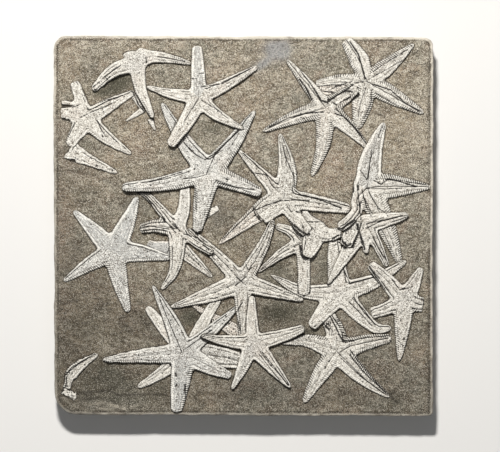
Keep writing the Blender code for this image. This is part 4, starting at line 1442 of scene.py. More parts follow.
    def thickness(self, reach: Field, marks: Marks) -> Field:
        """How thick the fossil is.

        Args:
            reach: How far inside the worn margin each place lies.
            marks: What is cut into it.

        Returns:
            Heights above its margin's foot, in millimetres.
        """
        fossil = self.fossil
        rounding = np.minimum(self.edge_round, 0.2 + 0.4 * self.width)
        edge = np.sqrt(1.0 - (1.0 - np.clip(reach / rounding, 0.0, 1.0)) ** 2)
        inner = eased((reach - self.band) / 1.4) * (1.0 - 0.35 * np.clip(self.ratio, 0.0, 1.0))
        furrow = fossil.furrow * np.exp(-((self.aside / (0.4 + 0.15 * self.width)) ** 2)) * self.wide
        ridge = (self.ridge_height - self.rim_height) * inner
        body = self.rim_height + ridge - self.furrow_depth * furrow
        body = fossil.height * edge * body * (1.0 - self.tip_drop * self.out**1.5)
        grain = (0.15 + 0.15 * self.crust + 0.12 * self.look["speckle"]) * self.cloud(0.95, 10)
        lumps = 0.16 * self.cloud(6.5, 8) + 0.12 * self.cloud(2.2, 9)
        body += edge * (lumps + grain + 0.26 * self.strand * self.bare)
        body += edge * marks.rise()
        return body

    def traces(self, reach: Field, marks: Marks) -> dict[str, Field]:
        """The values that the finish reads.

        Args:
            reach: How far inside the worn margin each place lies.
            marks: What is cut into the surface.

        Returns:
            The values, by name.
        """
        look, banded = self.look, self.banded
        crest = banded * eased(reach / 0.5) * self.bare * self.wide * (1.0 - look["crumble"])
        speckle = look["speckle"] * (1.0 - 0.6 * banded) + 0.5 * self.crust
        return {
            "line": marks.darkness(),
            "crest": crest * (0.4 + 0.6 * look["grey"]),
            "strand": 0.5 + 0.45 * self.strand * self.bare,
            "crust": self.crust,
            "grey": look["grey"] * (1.0 - banded),
            "speckle": np.clip(speckle, 0.0, 1.0),
        }

    def creases(self) -> Field:
        """How deep the creases that run over this fossil are."""
        depth = np.zeros(self.right.shape)
        for half_width, routes in CREASES.items():
            for route in routes:
                points, line = np.array(route), Line(route, half_width)
                low, high = points.min(axis=0) - self.mark_margin, points.max(axis=0) + self.mark_margin
                shared = Window.round_box(self.pitch, low, high).shared(self.window)
                if shared is not None:
                    near = shared[1]
                    shown = line.over(self.right[near], self.down[near])
                    depth[near] = np.maximum(depth[near], shown)
        return depth

    def pits(self) -> Field:
        """Small round pits, mostly beside the furrows."""
        chance = np.random.default_rng(self.seed)
        likely = (np.abs(self.aside) < 0.55 * self.width) & (self.reach > 2.0)
        rows, columns = np.nonzero(likely)
        depth = np.zeros(self.right.shape)
        if len(rows) == 0:
            return depth
        for pick in chance.integers(0, len(rows), self.fossil.pits):
            x, y = self.right[rows[pick], columns[pick]], self.down[rows[pick], columns[pick]]
            size = chance.uniform(*self.pit_sizes)
            margin = self.mark_margin
            box = Window.round_box(self.pitch, (x - margin, y - margin), (x + margin, y + margin))
            _, near = box.shared(self.window)
            far = np.hypot(self.right[near] - x, (self.down[near] - y) * chance.uniform(0.8, 1.2))
            depth[near] = np.maximum(depth[near], np.exp(-((far / size) ** 2)))
        return depth

    def dip_under(self, upper: "FossilRelief", level: Optional[float]) -> None:
        """Press this fossil down under one that lies across it, and paint that one's shadow on it.

        Args:
            upper: The fossil across it.
            level: The height between them, or None where this fossil ends under the other.
        """
        shared = self.window.shared(upper.window)
        if shared is None:
            return
        own, other = shared
        inside = upper.relief.reach[other]
        pressed = eased((inside + 2.4) / 2.6)
        top = FACE + (0.6 + 0.3 * upper.fossil.rise if level is None else self.lift_share * level)
        height = self.relief.height[own]
        fine = 0.12 * (height - softened(height, 4))
        low = np.minimum(height, top + fine)
        self.relief.height[own] = height + (low - height) * pressed
        # Painted shadow: the upper fossil's shadow is painted into this one's dark-line trace.
        line = self.relief.traces["line"]
        line[own] = np.maximum(line[own], upper.seam()[other])
        if level is None:
            self.relief.reach[own] = np.minimum(self.relief.reach[own], 2.2 - inside)

    def seam(self) -> Field:
        """The shadow that this fossil paints on one under it: painted shadow, wider where it stands high and
        on its side down the plan, away from the key lamp.
        """
        reach = self.relief.reach
        shaded = np.clip(0.35 - 0.9 * np.gradient(reach, self.pitch)[0], 0.0, 1.0)
        raised = np.clip(self.lift - 0.9, 0.0, 2.5) * shaded
        seam = bump_at(reach, -0.3 - 0.5 * raised, 0.45 + 0.6 * raised) * (0.7 + 0.5 * shaded)
        return np.clip(seam, 0.0, 1.0)

    def rings(self) -> list[Ring]:
        """The walls: a rounded shoulder, then a side that draws in towards the slab."""

        def drawn_in(x: Field, y: Field, top: Field) -> Field:
            """How far the foot is drawn in, more where the margin stands high."""
            width = self.window.sample(self.width, x, y)
            wanted = 0.15 + 0.42 * np.clip(top - FACE - 0.8, 0.0, 4.0)
            return np.minimum(wanted, 0.55 * width)

        return [
            Ring(lambda x, y, top: 0.12, lambda x, y, top: top - 0.35),
            Ring(
                lambda x, y, top: -0.35 * drawn_in(x, y, top),
                lambda x, y, top: FACE + 0.55 * np.maximum(top - FACE, 0.0) - 0.45,
            ),
            Ring(lambda x, y, top: -drawn_in(x, y, top), lambda x, y, top: self.foot),
        ]

    def build(self) -> bpy.types.Object:
        """Make the fossil's piece, standing in for its node."""
        piece = self.relief.body(self.fossil.name + "_fossil", self.rings())
        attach(piece, "root")
        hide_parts(self.fossil.name)
        return piece


# ---------------------------------------------------------------- the slab


# Hollows in the face.
HOLLOWS = (
    Patch((192, 317), (13, 10), 1.0), Patch((278, 314), (24, 11), 1.0), Patch((305, 332), (18, 5), 0.8),
    Patch((276, 265), (12, 14), 0.8), Patch((325, 266), (9, 16), 0.8),
    Patch((120, 82), (15, 9), 1.3, -15.0), Patch((103, 93), (12, 4), 0.9, -8.0),
    Patch((214, 128), (12, 12), 0.5), Patch((384, 250), (6, 14), 0.5), Patch((150, 215), (14, 8), 0.4),
    Patch((395, 399), (8, 7), 0.4), Patch((85, 325), (16, 20), 0.35), Patch((92, 193), (14, 8), 0.35),
)

# Rusty places.
RUST = (
    Patch((340, 170), (16, 18), 1.0), Patch((245, 105), (8, 8), 0.9), Patch((135, 140), (12, 18), 0.6),
    Patch((62, 190), (6, 30), 0.5), Patch((137, 306), (10, 3), 1.0), Patch((60, 250), (6, 40), 0.5),
    Patch((290, 325), (20, 4), 0.4),
)

# Smooth slate-grey stains.
STAIN = (
    Patch((274, 50), (10, 9.5), 1.5), Patch((285, 50), (6, 9.5), 1.2),
    Patch((261, 65), (10, 4), 1.3, -32.0), Patch((108, 402), (50, 10), 0.25),
    Patch((215, 215), (10, 12), 0.4),
)

# Olive-brown places.
OLIVE = (
    Patch((108, 376), (30, 20), 0.9), Patch((120, 402), (52, 12), 0.6),
    Patch((160, 388), (14, 16), 0.7), Patch((116, 84), (20, 12), 0.6), Patch((150, 60), (14, 10), 0.4),
    Patch((215, 225), (14, 18), 0.5), Patch((232, 140), (10, 10), 0.4), Patch((355, 105), (8, 8), 0.3),
)

# Darker places.
GLOOM = (
    Patch((86, 72), (15, 8), 0.55), Patch((118, 90), (16, 12), 0.45), Patch((130, 204), (15, 11), 0.8),
    Patch((100, 228), (8, 10), 0.5), Patch((163, 74), (8, 6), 0.4), Patch((300, 96), (10, 13), 0.45),
    Patch((340, 139), (8, 8), 0.4), Patch((157, 338), (8, 6), 0.4), Patch((178, 162), (8, 7), 0.35),
    Patch((227, 212), (16, 22), 0.5), Patch((102, 288), (12, 26), 0.5),
    Patch((134, 322), (22, 18), 0.75), Patch((100, 360), (9, 8), 0.4), Patch((80, 250), (7, 8), 0.45),
    Patch((400, 270), (7, 18), 0.35), Patch((182, 128), (8, 8), 0.2), Patch((112, 380), (24, 14), 0.6),
    Patch((165, 392), (14, 18), 0.35), Patch((245, 392), (36, 14), 0.42),
    Patch((300, 392), (18, 14), 0.25), Patch((186, 128), (12, 18), 0.4),
    Patch((345, 398), (40, 10), 0.25), Patch((355, 160), (12, 18), 0.2),
)

# Paler places.
PALE = (
    Patch((375, 119), (9, 5), 0.9), Patch((364, 137), (9, 8), 0.5), Patch((105, 348), (5, 5), 0.5),
    Patch((240, 60), (22, 10), 0.2), Patch((410, 150), (16, 40), 0.2), Patch((423, 100), (7, 60), 0.4),
    Patch((302, 50), (14, 8), 0.4), Patch((57, 320), (4, 90), 0.35), Patch((220, 272), (8, 6), 0.5),
    Patch((322, 264), (8, 12), 0.4), Patch((418, 168), (8, 24), 0.3), Patch((322, 338), (6, 8), 0.35),
)

# Lines cut in the face or standing up from it.
STROKES = (
    Stroke(((127, 307), (138, 304.5), (147, 303)), 0.8, 0.5, 0.9),
    Stroke(((75, 393), (110, 391), (120, 396), (140, 394), (165, 395)), 0.9, 0.45, 0.9),
    Stroke(((72, 172), (95, 175), (118, 187)), 1.5, 0.6, 0.6),
    Stroke(((88, 137), (108, 147), (128, 159)), 2.6, -0.7, -0.35),
    Stroke(((231, 94), (240, 106)), 0.8, 0.2, -0.6),
    Stroke(((75, 413), (98, 409), (125, 406)), 0.9, -0.2, -0.6),
    Stroke(((150, 412), (165, 398)), 0.9, -0.2, -0.6),
    Stroke(((64, 398), (70, 404), (77, 407)), 0.9, -0.3, -1.8),
    Stroke(((86, 405), (104, 403), (122, 408), (128, 412)), 1.3, -0.4, -1.1),
    Stroke(((100, 409), (118, 412)), 1.0, -0.3, -1.0),
    Stroke(((66, 408), (80, 413), (95, 415)), 0.9, -0.3, -1.2),
    Stroke(((80, 400), (100, 398), (118, 403)), 1.1, 0.4, 0.8),
    Stroke(((132, 408), (142, 404), (148, 407)), 1.0, -0.3, -1.0),
    Stroke(((60, 58), (68, 48), (84, 43)), 0.9, -0.2, -0.9),
    Stroke(((70, 53), (92, 44), (112, 42)), 0.8, -0.2, -0.8),
    Stroke(((100, 50), (122, 44)), 0.8, -0.2, -0.7),
    Stroke(((170, 44), (196, 41)), 0.8, -0.2, -0.7),
    Stroke(((262, 96), (282, 84), (292, 82)), 0.8, -0.2, -0.7),
    Stroke(((268, 105), (288, 96)), 0.8, 0.2, 0.35),
    Stroke(((258, 88), (272, 80)), 0.8, 0.2, 0.35),
    Stroke(((146, 62), (152, 70)), 0.8, 0.2, 0.35),
    Stroke(((300, 411), (325, 386)), 0.8, -0.2, -0.4),
    Stroke(((213, 54), (226, 56)), 0.8, -0.1, -0.5),
    Stroke(((268, 75), (291, 75)), 0.8, -0.1, -0.4),
    Stroke(((69, 50), (71, 62)), 0.7, -0.1, -0.5),
    Stroke(((69, 242), (71, 258)), 0.7, -0.1, -0.5),
    Stroke(((146, 304), (148, 299), (153, 296.5), (157, 299), (156, 304), (150, 306)), 0.9, -0.9, -1.0),
    Stroke(((366, 116), (374, 113), (385, 116)), 0.9, 0.5, 0.9),
    Stroke(((390, 394), (395, 402), (401, 404)), 1.6, 0.4, 0.7),
    Stroke(((84, 395), (92, 394)), 1.2, 0.2, 0.8),
    Stroke(((325, 133), (332, 124)), 1.0, 0.2, -0.4),
)

# The slab's corners, clockwise from the upper left, and how far each is rounded.
SLAB_CORNERS = (
    ((53.3, 35.7), 13.0), ((433.3, 37.2), 9.5), ((432.8, 416.3), 4.0), ((54.6, 414.5), 21.0),
)

# A dent in the slab's upper side.
DENT = Patch((238.5, 36.4), (5.5, 3.0), 1.0)


@dataclass
class SlabRelief:
    """The slab of matrix: a worn, grainy face with a pale rim, rough sides and a flat foot."""

    fossils: Sequence[FossilRelief]
    pitch: float = 1.38
    edge_ease: float = 1.7
    foot_ease: float = 1.2
    spare: float = 3.0
    groove_place: float = 428.6
    side_spacing: float = 1.9

    def inside(self, right: Field, down: Field) -> Field:
        """How far inside the slab's outline places on the plan lie."""
        sides = []
        for ((ax, ay), _), ((bx, by), _) in zip(SLAB_CORNERS, SLAB_CORNERS[1:] + SLAB_CORNERS[:1]):
            across = (down - ay) * (bx - ax) - (right - ax) * (by - ay)
            sides.append(across / math.hypot(bx - ax, by - ay))
        reach = np.minimum.reduce(sides)
        for number, (_, radius) in enumerate(SLAB_CORNERS):
            x = np.clip(radius - sides[number - 1], 0.0, None)
            y = np.clip(radius - sides[number], 0.0, None)
            reach = np.where((x > 0.0) & (y > 0.0), np.minimum(reach, radius - np.hypot(x, y)), reach)
        reach += 0.3 * CLOUDS.at(right, down, 27.0, 91) + 0.16 * CLOUDS.at(right, down, 6.0, 92)
        return reach - DENT.over(right, down)

    def fossil_map(self, window: Window) -> Field:
        """How near each place is to a fossil: positive under one, in millimetres."""
        right, down = window.places()
        nearest = np.full(right.shape, -FAR)
        for item in self.fossils:
            low, high = item.window.corners()
            inside = (right > low[0]) & (right < high[0]) & (down > low[1]) & (down < high[1])
            reach = item.window.sample(item.reach, right[inside], down[inside])
            nearest[inside] = np.maximum(nearest[inside], reach)
        return nearest

    def carve(self) -> Relief:
        """Work out the face: its grain, hollows, moats beside the fossils, lines and stains, and its painted
        light and shade.
        """
        places = np.array([corner for corner, _ in SLAB_CORNERS])
        low, high = places.min(axis=0) - self.spare, places.max(axis=0) + self.spare
        window = Window.round_box(self.pitch, low, high)
        right, down = window.places()
        reach = self.inside(right, down)
        nearest = self.fossil_map(window)
        bare = eased((-nearest - 0.2) / 1.5)

        def cloud(size: float, seed: int) -> Field:
            """A random field over the slab."""
            return CLOUDS.at(right, down, size, seed)

        hollow, rust, stain, olive, gloom, pale = (
            np.clip(sum(patch.over(right, down) for patch in patches), 0.0, 1.3)
            for patches in (HOLLOWS, RUST, STAIN, OLIVE, GLOOM, PALE)
        )
        smooth = np.clip(stain, 0.0, 1.0)
        pale = pale * (0.8 + 0.4 * cloud(3.0, 61))
        dark = np.zeros(right.shape)
        height = FACE - 0.5 - 1.1 * hollow * bare
        ground = 0.35 * cloud(42.0, 71) + 0.45 * cloud(16.0, 72) + 0.55 * cloud(6.5, 73)
        ground += 0.48 * cloud(3.1, 74) + 0.34 * cloud(1.6, 75)
        height += ground * (1.0 - 0.6 * smooth)
        height += 0.2 * CLOUDS.at(right * 0.3, down, 1.6, 76) * eased((70.0 - down) / 12.0)
        for stroke in STROKES:
            shown = stroke.over(right, down) * bare * (0.85 + 0.3 * cloud(2.6, 62))
            height -= stroke.depth * shown
            dark += max(stroke.dark, 0.0) * shown
            pale += max(-stroke.dark, 0.0) * shown
        moat = np.exp(-np.clip(-nearest, 0.0, 30.0) / 1.3)
        height -= 0.45 * moat * (0.6 + 0.6 * cloud(8.0, 77))
        rim = np.exp(-np.clip(reach, 0.0, None) / 1.9)
        height -= 0.55 * rim**2 + 0.35 * np.clip(cloud(3.2, 78), 0.0, 1.0) * rim
        groove = bump_at(right, self.groove_place, 0.9) * eased((down - 55.0) / 10.0)
        groove *= np.clip(1.0 - bump_at(down, 210.0, 40.0), 0.0, 1.0)
        height -= 0.5 * groove
        height = np.where(nearest > 1.5, np.minimum(height, FACE - 0.4), height)

        # Painted light and shade: the face is painted darker towards the bottom and the left and a little
        # lighter towards the upper right, as light falling off across it, and darker in the gloom patches.
        low_end = eased((down - 150.0) / 230.0)
        left_end = eased((112.0 - right) / 50.0) * eased((down - 70.0) / 90.0)
        upper_right = eased((right - down) / 160.0)
        shade = 0.06 + 0.58 * low_end + 0.45 * left_end - 0.12 * upper_right + 0.85 * gloom
        traces = {
            # near is painted shade beside the fossils, and apart the distance from them that places a
            # painted black contact shadow.
            "near": moat * bare,
            "apart": np.clip(-nearest / 6.0, -1.0, 1.0),
            "hollow": np.clip(hollow, 0.0, 1.0),
            "rust": np.clip(rust, 0.0, 1.0),
            "stain": smooth,
            "olive": np.clip(olive, 0.0, 1.0),
            "pale": np.clip(pale, 0.0, 1.0),
            "dark": np.clip(dark + 0.6 * groove, 0.0, 1.0),
            "edge": np.clip(reach / 10.0, -1.0, 1.0),
            # The worn pale rim, painted paler towards the upper right as a painted highlight.
            "wear_and_highlight": np.clip((0.8 + 0.5 * cloud(5.0, 79)) * (0.75 + 0.5 * upper_right), 0.0, 1.0),
            "shade": np.clip(shade, 0.0, 1.0),
        }
        return Relief(window, reach - self.edge_ease, height, traces)

    def rings(self) -> list[Ring]:
        """The rounded edge, the rough sides and the foot."""

        def rough(x: Field, y: Field, height: float, amount: float) -> Field:
            """Roughness of a side at a height, which differs from line to line."""
            shift_x, shift_y = x + height * 0.9, y + height * 1.1
            broad = 0.6 * CLOUDS.at(shift_x, shift_y, 11.0, 81) + 0.3 * CLOUDS.at(shift_x, shift_y, 3.5, 82)
            return amount * (broad + 0.2 * CLOUDS.at(shift_x, shift_y, 1.6, 83))

        def ring(outset: float, height: float, amount: float) -> Ring:
            """One line round the slab."""
            return Ring(
                lambda x, y, top: outset + rough(x, y, height, amount),
                lambda x, y, top: np.minimum(top - 0.1, height + 0.25 * amount * CLOUDS.at(x, y, 6.0, 84)),
            )

        ease = self.edge_ease
        heights = np.arange(FACE - 4.2, self.foot_ease + 1.0, -self.side_spacing)
        return [
            ring(0.45 * ease, FACE - 0.35, 0.1),
            ring(0.8 * ease, FACE - 1.0, 0.2),
            ring(ease, FACE - 2.3, 0.5),
            *(ring(ease, height, 0.75) for height in heights),
            ring(ease - 0.1, self.foot_ease, 0.5),
            Ring(lambda x, y, top: ease - self.foot_ease, lambda x, y, top: 0.0),
        ]

    def build(self) -> bpy.types.Object:
        """Make the slab's piece, standing in for its node."""
        piece = self.carve().body("slab_stone", self.rings())
        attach(piece, "root")
        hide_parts("slab")
        return piece


# ---------------------------------------------------------------- finishes

Number = Union["Signal", float]


class Signal:
    """A value in a material that takes part in sums: its operators add Math nodes."""

    def __init__(self, bench: "Bench", socket: bpy.types.NodeSocket) -> None:
        """Hold the socket that gives the value."""
        self.bench = bench
        self.socket = socket

    def __add__(self, other: Number) -> "Signal":
        """This value plus another."""
        return self.bench.sum("ADD", self, other)

    def __radd__(self, other: Number) -> "Signal":
        """Another value plus this one."""
        return self.bench.sum("ADD", other, self)

    def __sub__(self, other: Number) -> "Signal":
        """This value less another."""
        return self.bench.sum("SUBTRACT", self, other)

    def __rsub__(self, other: Number) -> "Signal":
        """Another value less this one."""
        return self.bench.sum("SUBTRACT", other, self)

    def __mul__(self, other: Number) -> "Signal":
        """This value times another."""
        return self.bench.sum("MULTIPLY", self, other)

    def __rmul__(self, other: Number) -> "Signal":
        """Another value times this one."""
        return self.bench.sum("MULTIPLY", other, self)

    def held(self) -> "Signal":
        """This value, held between 0 and 1."""
        return self.stepped(0.0, 1.0, "LINEAR")

    def stepped(self, low: float, high: float, way: str = "SMOOTHSTEP") -> "Signal":
        """A step from 0 at a low value of this one to 1 at a high value.

        Args:
            low: The value that gives 0.
            high: The value that gives 1.
            way: How it goes between them.

        Returns:
            The stepped value.
        """
        settings = {"interpolation_type": way, "clamp": True}
        sockets = {"Value": self, "From Min": low, "From Max": high}
        return self.bench.node("ShaderNodeMapRange", settings, sockets)["Result"]


class Parts:
    """A node's outputs, each as a signal, by name or number."""

    def __init__(self, bench: "Bench", node: bpy.types.Node) -> None:
        """Hold the node."""
        self.bench = bench
        self.node = node

    def __getitem__(self, key: Union[str, int]) -> Signal:
        """One output."""
        return Signal(self.bench, self.node.outputs[key])


class Bench:
    """The place where one material's nodes are put together."""

    specular: ClassVar[float] = 0.25

    def __init__(self, name: str) -> None:
        """Make an empty material with its shader."""
        self.material = bpy.data.materials.new(name)
        self.material.use_nodes = True
        self.tree = self.material.node_tree
        self.shader = self.tree.nodes["Principled BSDF"]
        self.objects = self.node("ShaderNodeTexCoord", {}, {})["Object"]

    def node(self, kind: str, settings: dict, sockets: dict) -> Parts:
        """Add a node.

        Args:
            kind: The node's type.
            settings: Its own settings.
            sockets: Values or signals for its sockets, by name or number.

        Returns:
            The node's outputs.
        """
        node = self.tree.nodes.new(kind)
        for key, value in settings.items():
            setattr(node, key, value)
        for key, value in sockets.items():
            if isinstance(value, Signal):
                self.tree.links.new(value.socket, node.inputs[key])
            else:
                node.inputs[key].default_value = value
        return Parts(self, node)

    def sum(self, operation: str, first: Number, second: Number) -> Signal:
        """One Math node on two values."""
        return self.node("ShaderNodeMath", {"operation": operation}, {0: first, 1: second})["Value"]

    def trace(self, name: str) -> Signal:
        """A value kept on the mesh's points."""
        return self.node("ShaderNodeAttribute", {"attribute_name": name}, {})["Fac"]

    def noise(
        self,
        size: float,
        detail: float = 2.0,
        rough: float = 0.55,
        bend: float = 0.0,
        places: Optional[Signal] = None,
    ) -> Signal:
        """A noise with lumps of a size in millimetres.

        Args:
            size: The lumps' size.
            detail: How many finer layers it has.
            rough: How strong those are.
            bend: How far it is bent out of shape.
            places: Where it is read, if that isn't the plain place on the part.

        Returns:
            Values mostly from 0.3 to 0.7.
        """
        sockets = {"Vector": places or self.objects, "Scale": 1000.0 / size, "Detail": detail}
        sockets.update({"Roughness": rough, "Distortion": bend})
        return self.node("ShaderNodeTexNoise", {"noise_dimensions": "3D"}, sockets)["Fac"]

    def streaks(self, size: float, stretch: float, turn: float) -> Signal:
        """A wavy noise that is drawn out along one direction of the plan.

        Args:
            size: The lumps' size across, in millimetres.
            stretch: Their size across as a share of their length.
            turn: The direction's turn from the X axis, in degrees.

        Returns:
            Values mostly from 0.3 to 0.7.
        """
        sockets = {"Vector": self.objects, "Rotation": (0.0, 0.0, -math.radians(turn))}
        sockets["Scale"] = (stretch, 1.0, 1.0)
        drawn = self.node("ShaderNodeMapping", {"vector_type": "POINT"}, sockets)["Vector"]
        return self.noise(size, 3.0, 0.6, 0.9, drawn)

    def blend(self, first: Union[Signal, Colour], second: Union[Signal, Colour], share: Number) -> Signal:
        """A colour between two.

        Args:
            first: The colour at share 0.
            second: The colour at share 1.
            share: How much of the second there is.

        Returns:
            The colour.
        """
        colours = [value if isinstance(value, Signal) else (*value, 1.0) for value in (first, second)]
        settings = {"data_type": "RGBA", "clamp_factor": True}
        return self.node("ShaderNodeMix", settings, {0: share, 6: colours[0], 7: colours[1]})[2]

    def layered(self, base: Signal, *layers: tuple[Colour, Number]) -> Signal:
        """A colour with others laid over it.

        Args:
            base: The colour under them.
            layers: Each colour over it and how much of that there is.

        Returns:
            The colour.
        """
        for colour, share in layers:
            base = self.blend(base, colour, share)
        return base

    def shaded(self, colour: Signal, by: Signal) -> Signal:
        """A colour made lighter or darker by a value."""
        settings = {"operation": "SCALE"}
        return self.node("ShaderNodeVectorMath", settings, {0: colour, "Scale": by})["Vector"]

    def finish(self, colour: Signal, rough: float, relief: Signal, depth: float) -> bpy.types.Material:
        """Join the colour, roughness and fine relief to the shader.

        Args:
            colour: The surface's colour.
            rough: Its roughness.
            relief: Its fine relief.
            depth: How deep the relief is for a value of 1, in millimetres.

        Returns:
            The material.
        """
        bump = self.node("ShaderNodeBump", {}, {"Distance": depth * MM, "Height": relief})["Normal"]
        self.tree.links.new(colour.socket, self.shader.inputs["Base Color"])
        self.shader.inputs["Roughness"].default_value = rough
        self.shader.inputs["Specular IOR Level"].default_value = self.specular
        self.tree.links.new(bump.socket, self.shader.inputs["Normal"])
        return self.material


@dataclass(frozen=True)
class StoneFinish:
    """Grey-brown sandstone: mottled, grainy, rusty and stained in places, pale where worn; with painted
    shade towards the bottom and left, in the hollows, beside and round the fossils and on the sides, and a
    painted highlight on the upper right rim.
    """

    tan: Colour = (0.305, 0.248, 0.172)
    sand: Colour = (0.50, 0.45, 0.355)
    # Dark umber, for the mottle and for the painted shade beside the fossils.
    umber: Colour = (0.158, 0.125, 0.085)
    grey: Colour = (0.215, 0.205, 0.162)
    rust: Colour = (0.36, 0.25, 0.18)
    slate: Colour = (0.285, 0.29, 0.293)
    # Olive-brown, for the olive places and for the painted shade in the hollows.
    olive: Colour = (0.118, 0.110, 0.073)
    worn: Colour = (0.66, 0.61, 0.52)
    # Near-black, for specks, pits and lines, and for the painted contact shadow round the fossils.
    pit: Colour = (0.045, 0.038, 0.03)
    deep_shade: float = 0.5
    roughness: float = 0.93
    bump_depth: float = 0.8

    def make(self) -> bpy.types.Material:
        """Make the material."""
        bench = Bench("sandstone_face")
        broad, lumps = bench.noise(54.0, 3.0), bench.noise(17.0, 4.0, 0.6, 0.8)
        mottle, grain = bench.noise(6.5, 4.0, 0.65, 1.2), bench.noise(2.3, 3.0, 0.7)
        speck, fleck = bench.noise(0.85, 1.0, 0.5), bench.noise(1.3, 0.0)
        streak = bench.streaks(3.0, 0.3, 30.0)
        tint = bench.noise(24.0, 2.0, 0.5, 0.6)
        face = 1.0 - bench.trace("wall")
        stain, hollow, near = bench.trace("stain"), bench.trace("hollow"), bench.trace("near")
        rusty, mossy = bench.trace("rust") * face, bench.trace("olive") * face
        pale, dark = bench.trace("pale") * face, bench.trace("dark") * face
        edge, smooth, patchy = bench.trace("edge"), 1.0 - 0.5 * stain, 0.45 + 1.1 * lumps
        light, deep = speck.stepped(0.55, 0.68) * patchy, speck.stepped(0.45, 0.32) * patchy
        holes = grain.stepped(0.46, 0.32) * 0.6 + fleck.stepped(0.66, 0.76) * 0.6
        inner = edge.stepped(0.26, 0.36) - edge.stepped(0.38, 0.52)
        # The worn pale rim, with a painted highlight towards the upper right; on the sides, pale by chance.
        wear_and_highlight = bench.trace("wear_and_highlight") * face + (1.0 - face) * (0.2 + 0.9 * lumps)
        wear_and_highlight = (1.0 - edge.stepped(0.14, 0.3)) * wear_and_highlight
        # Painted contact shadow: black close round the fossils.
        outline = (1.0 - bench.trace("apart").stepped(0.06, 0.24)) * (0.45 + 0.8 * lumps)
        colour = bench.layered(
            bench.blend(self.tan, self.grey, broad.stepped(0.42, 0.58) * 0.85),
            (self.umber, lumps.stepped(0.46, 0.6) * 0.85),
            (self.rust, tint.stepped(0.52, 0.66) * 0.3),
            (self.olive, tint.stepped(0.48, 0.34) * 0.4),
            (self.sand, mottle.stepped(0.51, 0.64) * 0.8),
            (self.umber, mottle.stepped(0.47, 0.34) * 0.65),
            (self.sand, streak.stepped(0.53, 0.66) * 0.6),
            (self.umber, streak.stepped(0.47, 0.36) * 0.65),
            (self.rust, rusty * lumps.stepped(0.3, 0.6) * 0.6),
            (self.slate, stain * 0.85),
            (self.olive, (mossy * (0.5 + 0.6 * mottle)).held()),
            # Painted shade: olive in the hollows and dark umber beside the fossils.
            (self.olive, (hollow * (0.7 + 0.5 * mottle)).held()),
            (self.umber, (near * mottle.stepped(0.2, 0.6) * 0.9).held()),
            (self.sand, (pale * (0.55 + 0.9 * mottle)).held()),
            (self.worn, (light * smooth * (1.0 - 0.5 * hollow) * 1.05).held()),
            (self.pit, (deep * smooth * 1.15).held()),
            (self.pit, holes.held()),
            (self.pit, (inner * lumps.stepped(0.36, 0.56) * 0.6).held()),
            (self.worn, (wear_and_highlight * (0.6 + 0.6 * mottle)).held()),
            (self.pit, (dark * (0.35 + 0.9 * grain)).held()),
            # Painted contact shadow round the fossils.
            (self.pit, (outline * face).held()),
        )
        # Painted shade: the shade trace's fall-off and gloom on the face, a steady share on the sides, and
        # more in the hollows.
        shade = bench.trace("shade") * face + (1.0 - face) * 0.35
        colour = bench.shaded(colour, 1.0 - self.deep_shade * shade - 0.22 * hollow)
        relief = 0.55 * grain + 0.85 * speck + 0.5 * mottle + 0.5 * streak
        return bench.finish(colour, self.roughness, relief, self.bump_depth)


@dataclass(frozen=True)
class ShellFinish:
    """Fossil shell: pale and chalky, speckled, with black lines and pits, painted shadows where other
    fossils lie across it, and painted shade on its walls.
    """

    name: str
    pale: Colour
    shade: Colour
    crust: Colour = (0.47, 0.455, 0.43)
    warm: Colour = (0.60, 0.50, 0.42)
    cool: Colour = (0.40, 0.404, 0.394)
    chalk: Colour = (0.88, 0.855, 0.79)
    black: Colour = (0.018, 0.016, 0.014)
    # Dark brown, for the dark specks and for the painted shade on the walls.
    soil: Colour = (0.12, 0.10, 0.075)
    roughness: float = 0.88
    bump_depth: float = 0.5

    def make(self) -> bpy.types.Material:
        """Make the material."""
        bench = Bench(self.name + "_fossil")
        broad, lumps = bench.noise(34.0, 2.0), bench.noise(7.0, 3.0)
        grain, speck = bench.noise(2.2, 3.0, 0.65), bench.noise(0.85, 1.0, 0.5)
        fleck, strand = bench.noise(1.2, 0.0), bench.trace("strand")
        line, crest, wall = bench.trace("line"), bench.trace("crest"), bench.trace("wall")
        rough = 0.3 + 0.6 * bench.trace("speckle")
        light = speck.stepped(0.54, 0.64) * rough * 1.05 + strand.stepped(0.56, 0.76) * 0.5
        dark = speck.stepped(0.47, 0.35) * 1.15 + fleck.stepped(0.62, 0.74) * 1.1
        dark = (dark + grain.stepped(0.4, 0.3) * 0.45) * rough + strand.stepped(0.4, 0.16) * 0.42
        colour = bench.layered(
            bench.blend(self.pale, self.shade, lumps.stepped(0.36, 0.62) * 0.45),
            (self.warm, broad.stepped(0.5, 0.7) * 0.35),
            (self.cool, (bench.trace("grey") * 0.85).held()),
            (self.crust, bench.trace("crust") * 0.7),
            (self.chalk, (crest * (0.55 + 0.5 * lumps)).held()),
            (self.chalk, light.held()),
            (self.soil, (dark * (1.0 - 0.4 * crest)).held()),
            # Black for the cut lines, pits and cracks, and for the painted shadows of fossils lying across
            # this one.
            (self.black, (line.stepped(0.22, 0.8) * (0.6 + 0.8 * grain)).held()),
            # Painted shade: the drawn-in walls under the margin are coloured dark brown.
            (self.soil, (wall.stepped(0.3, 0.7) * 0.85).held()),
        )
        relief = 0.5 * grain + 0.9 * speck
        return bench.finish(colour, self.roughness, relief, self.bump_depth)


FINISHES = {
    Shell.PALE: ShellFinish("pale_shell", (0.74, 0.705, 0.63), (0.56, 0.525, 0.46)),
    Shell.GREY: ShellFinish("grey_shell", (0.70, 0.685, 0.64), (0.50, 0.495, 0.46)),
    Shell.WARM: ShellFinish("warm_shell", (0.74, 0.67, 0.585), (0.57, 0.505, 0.43)),
}


# ---------------------------------------------------------------- the studio


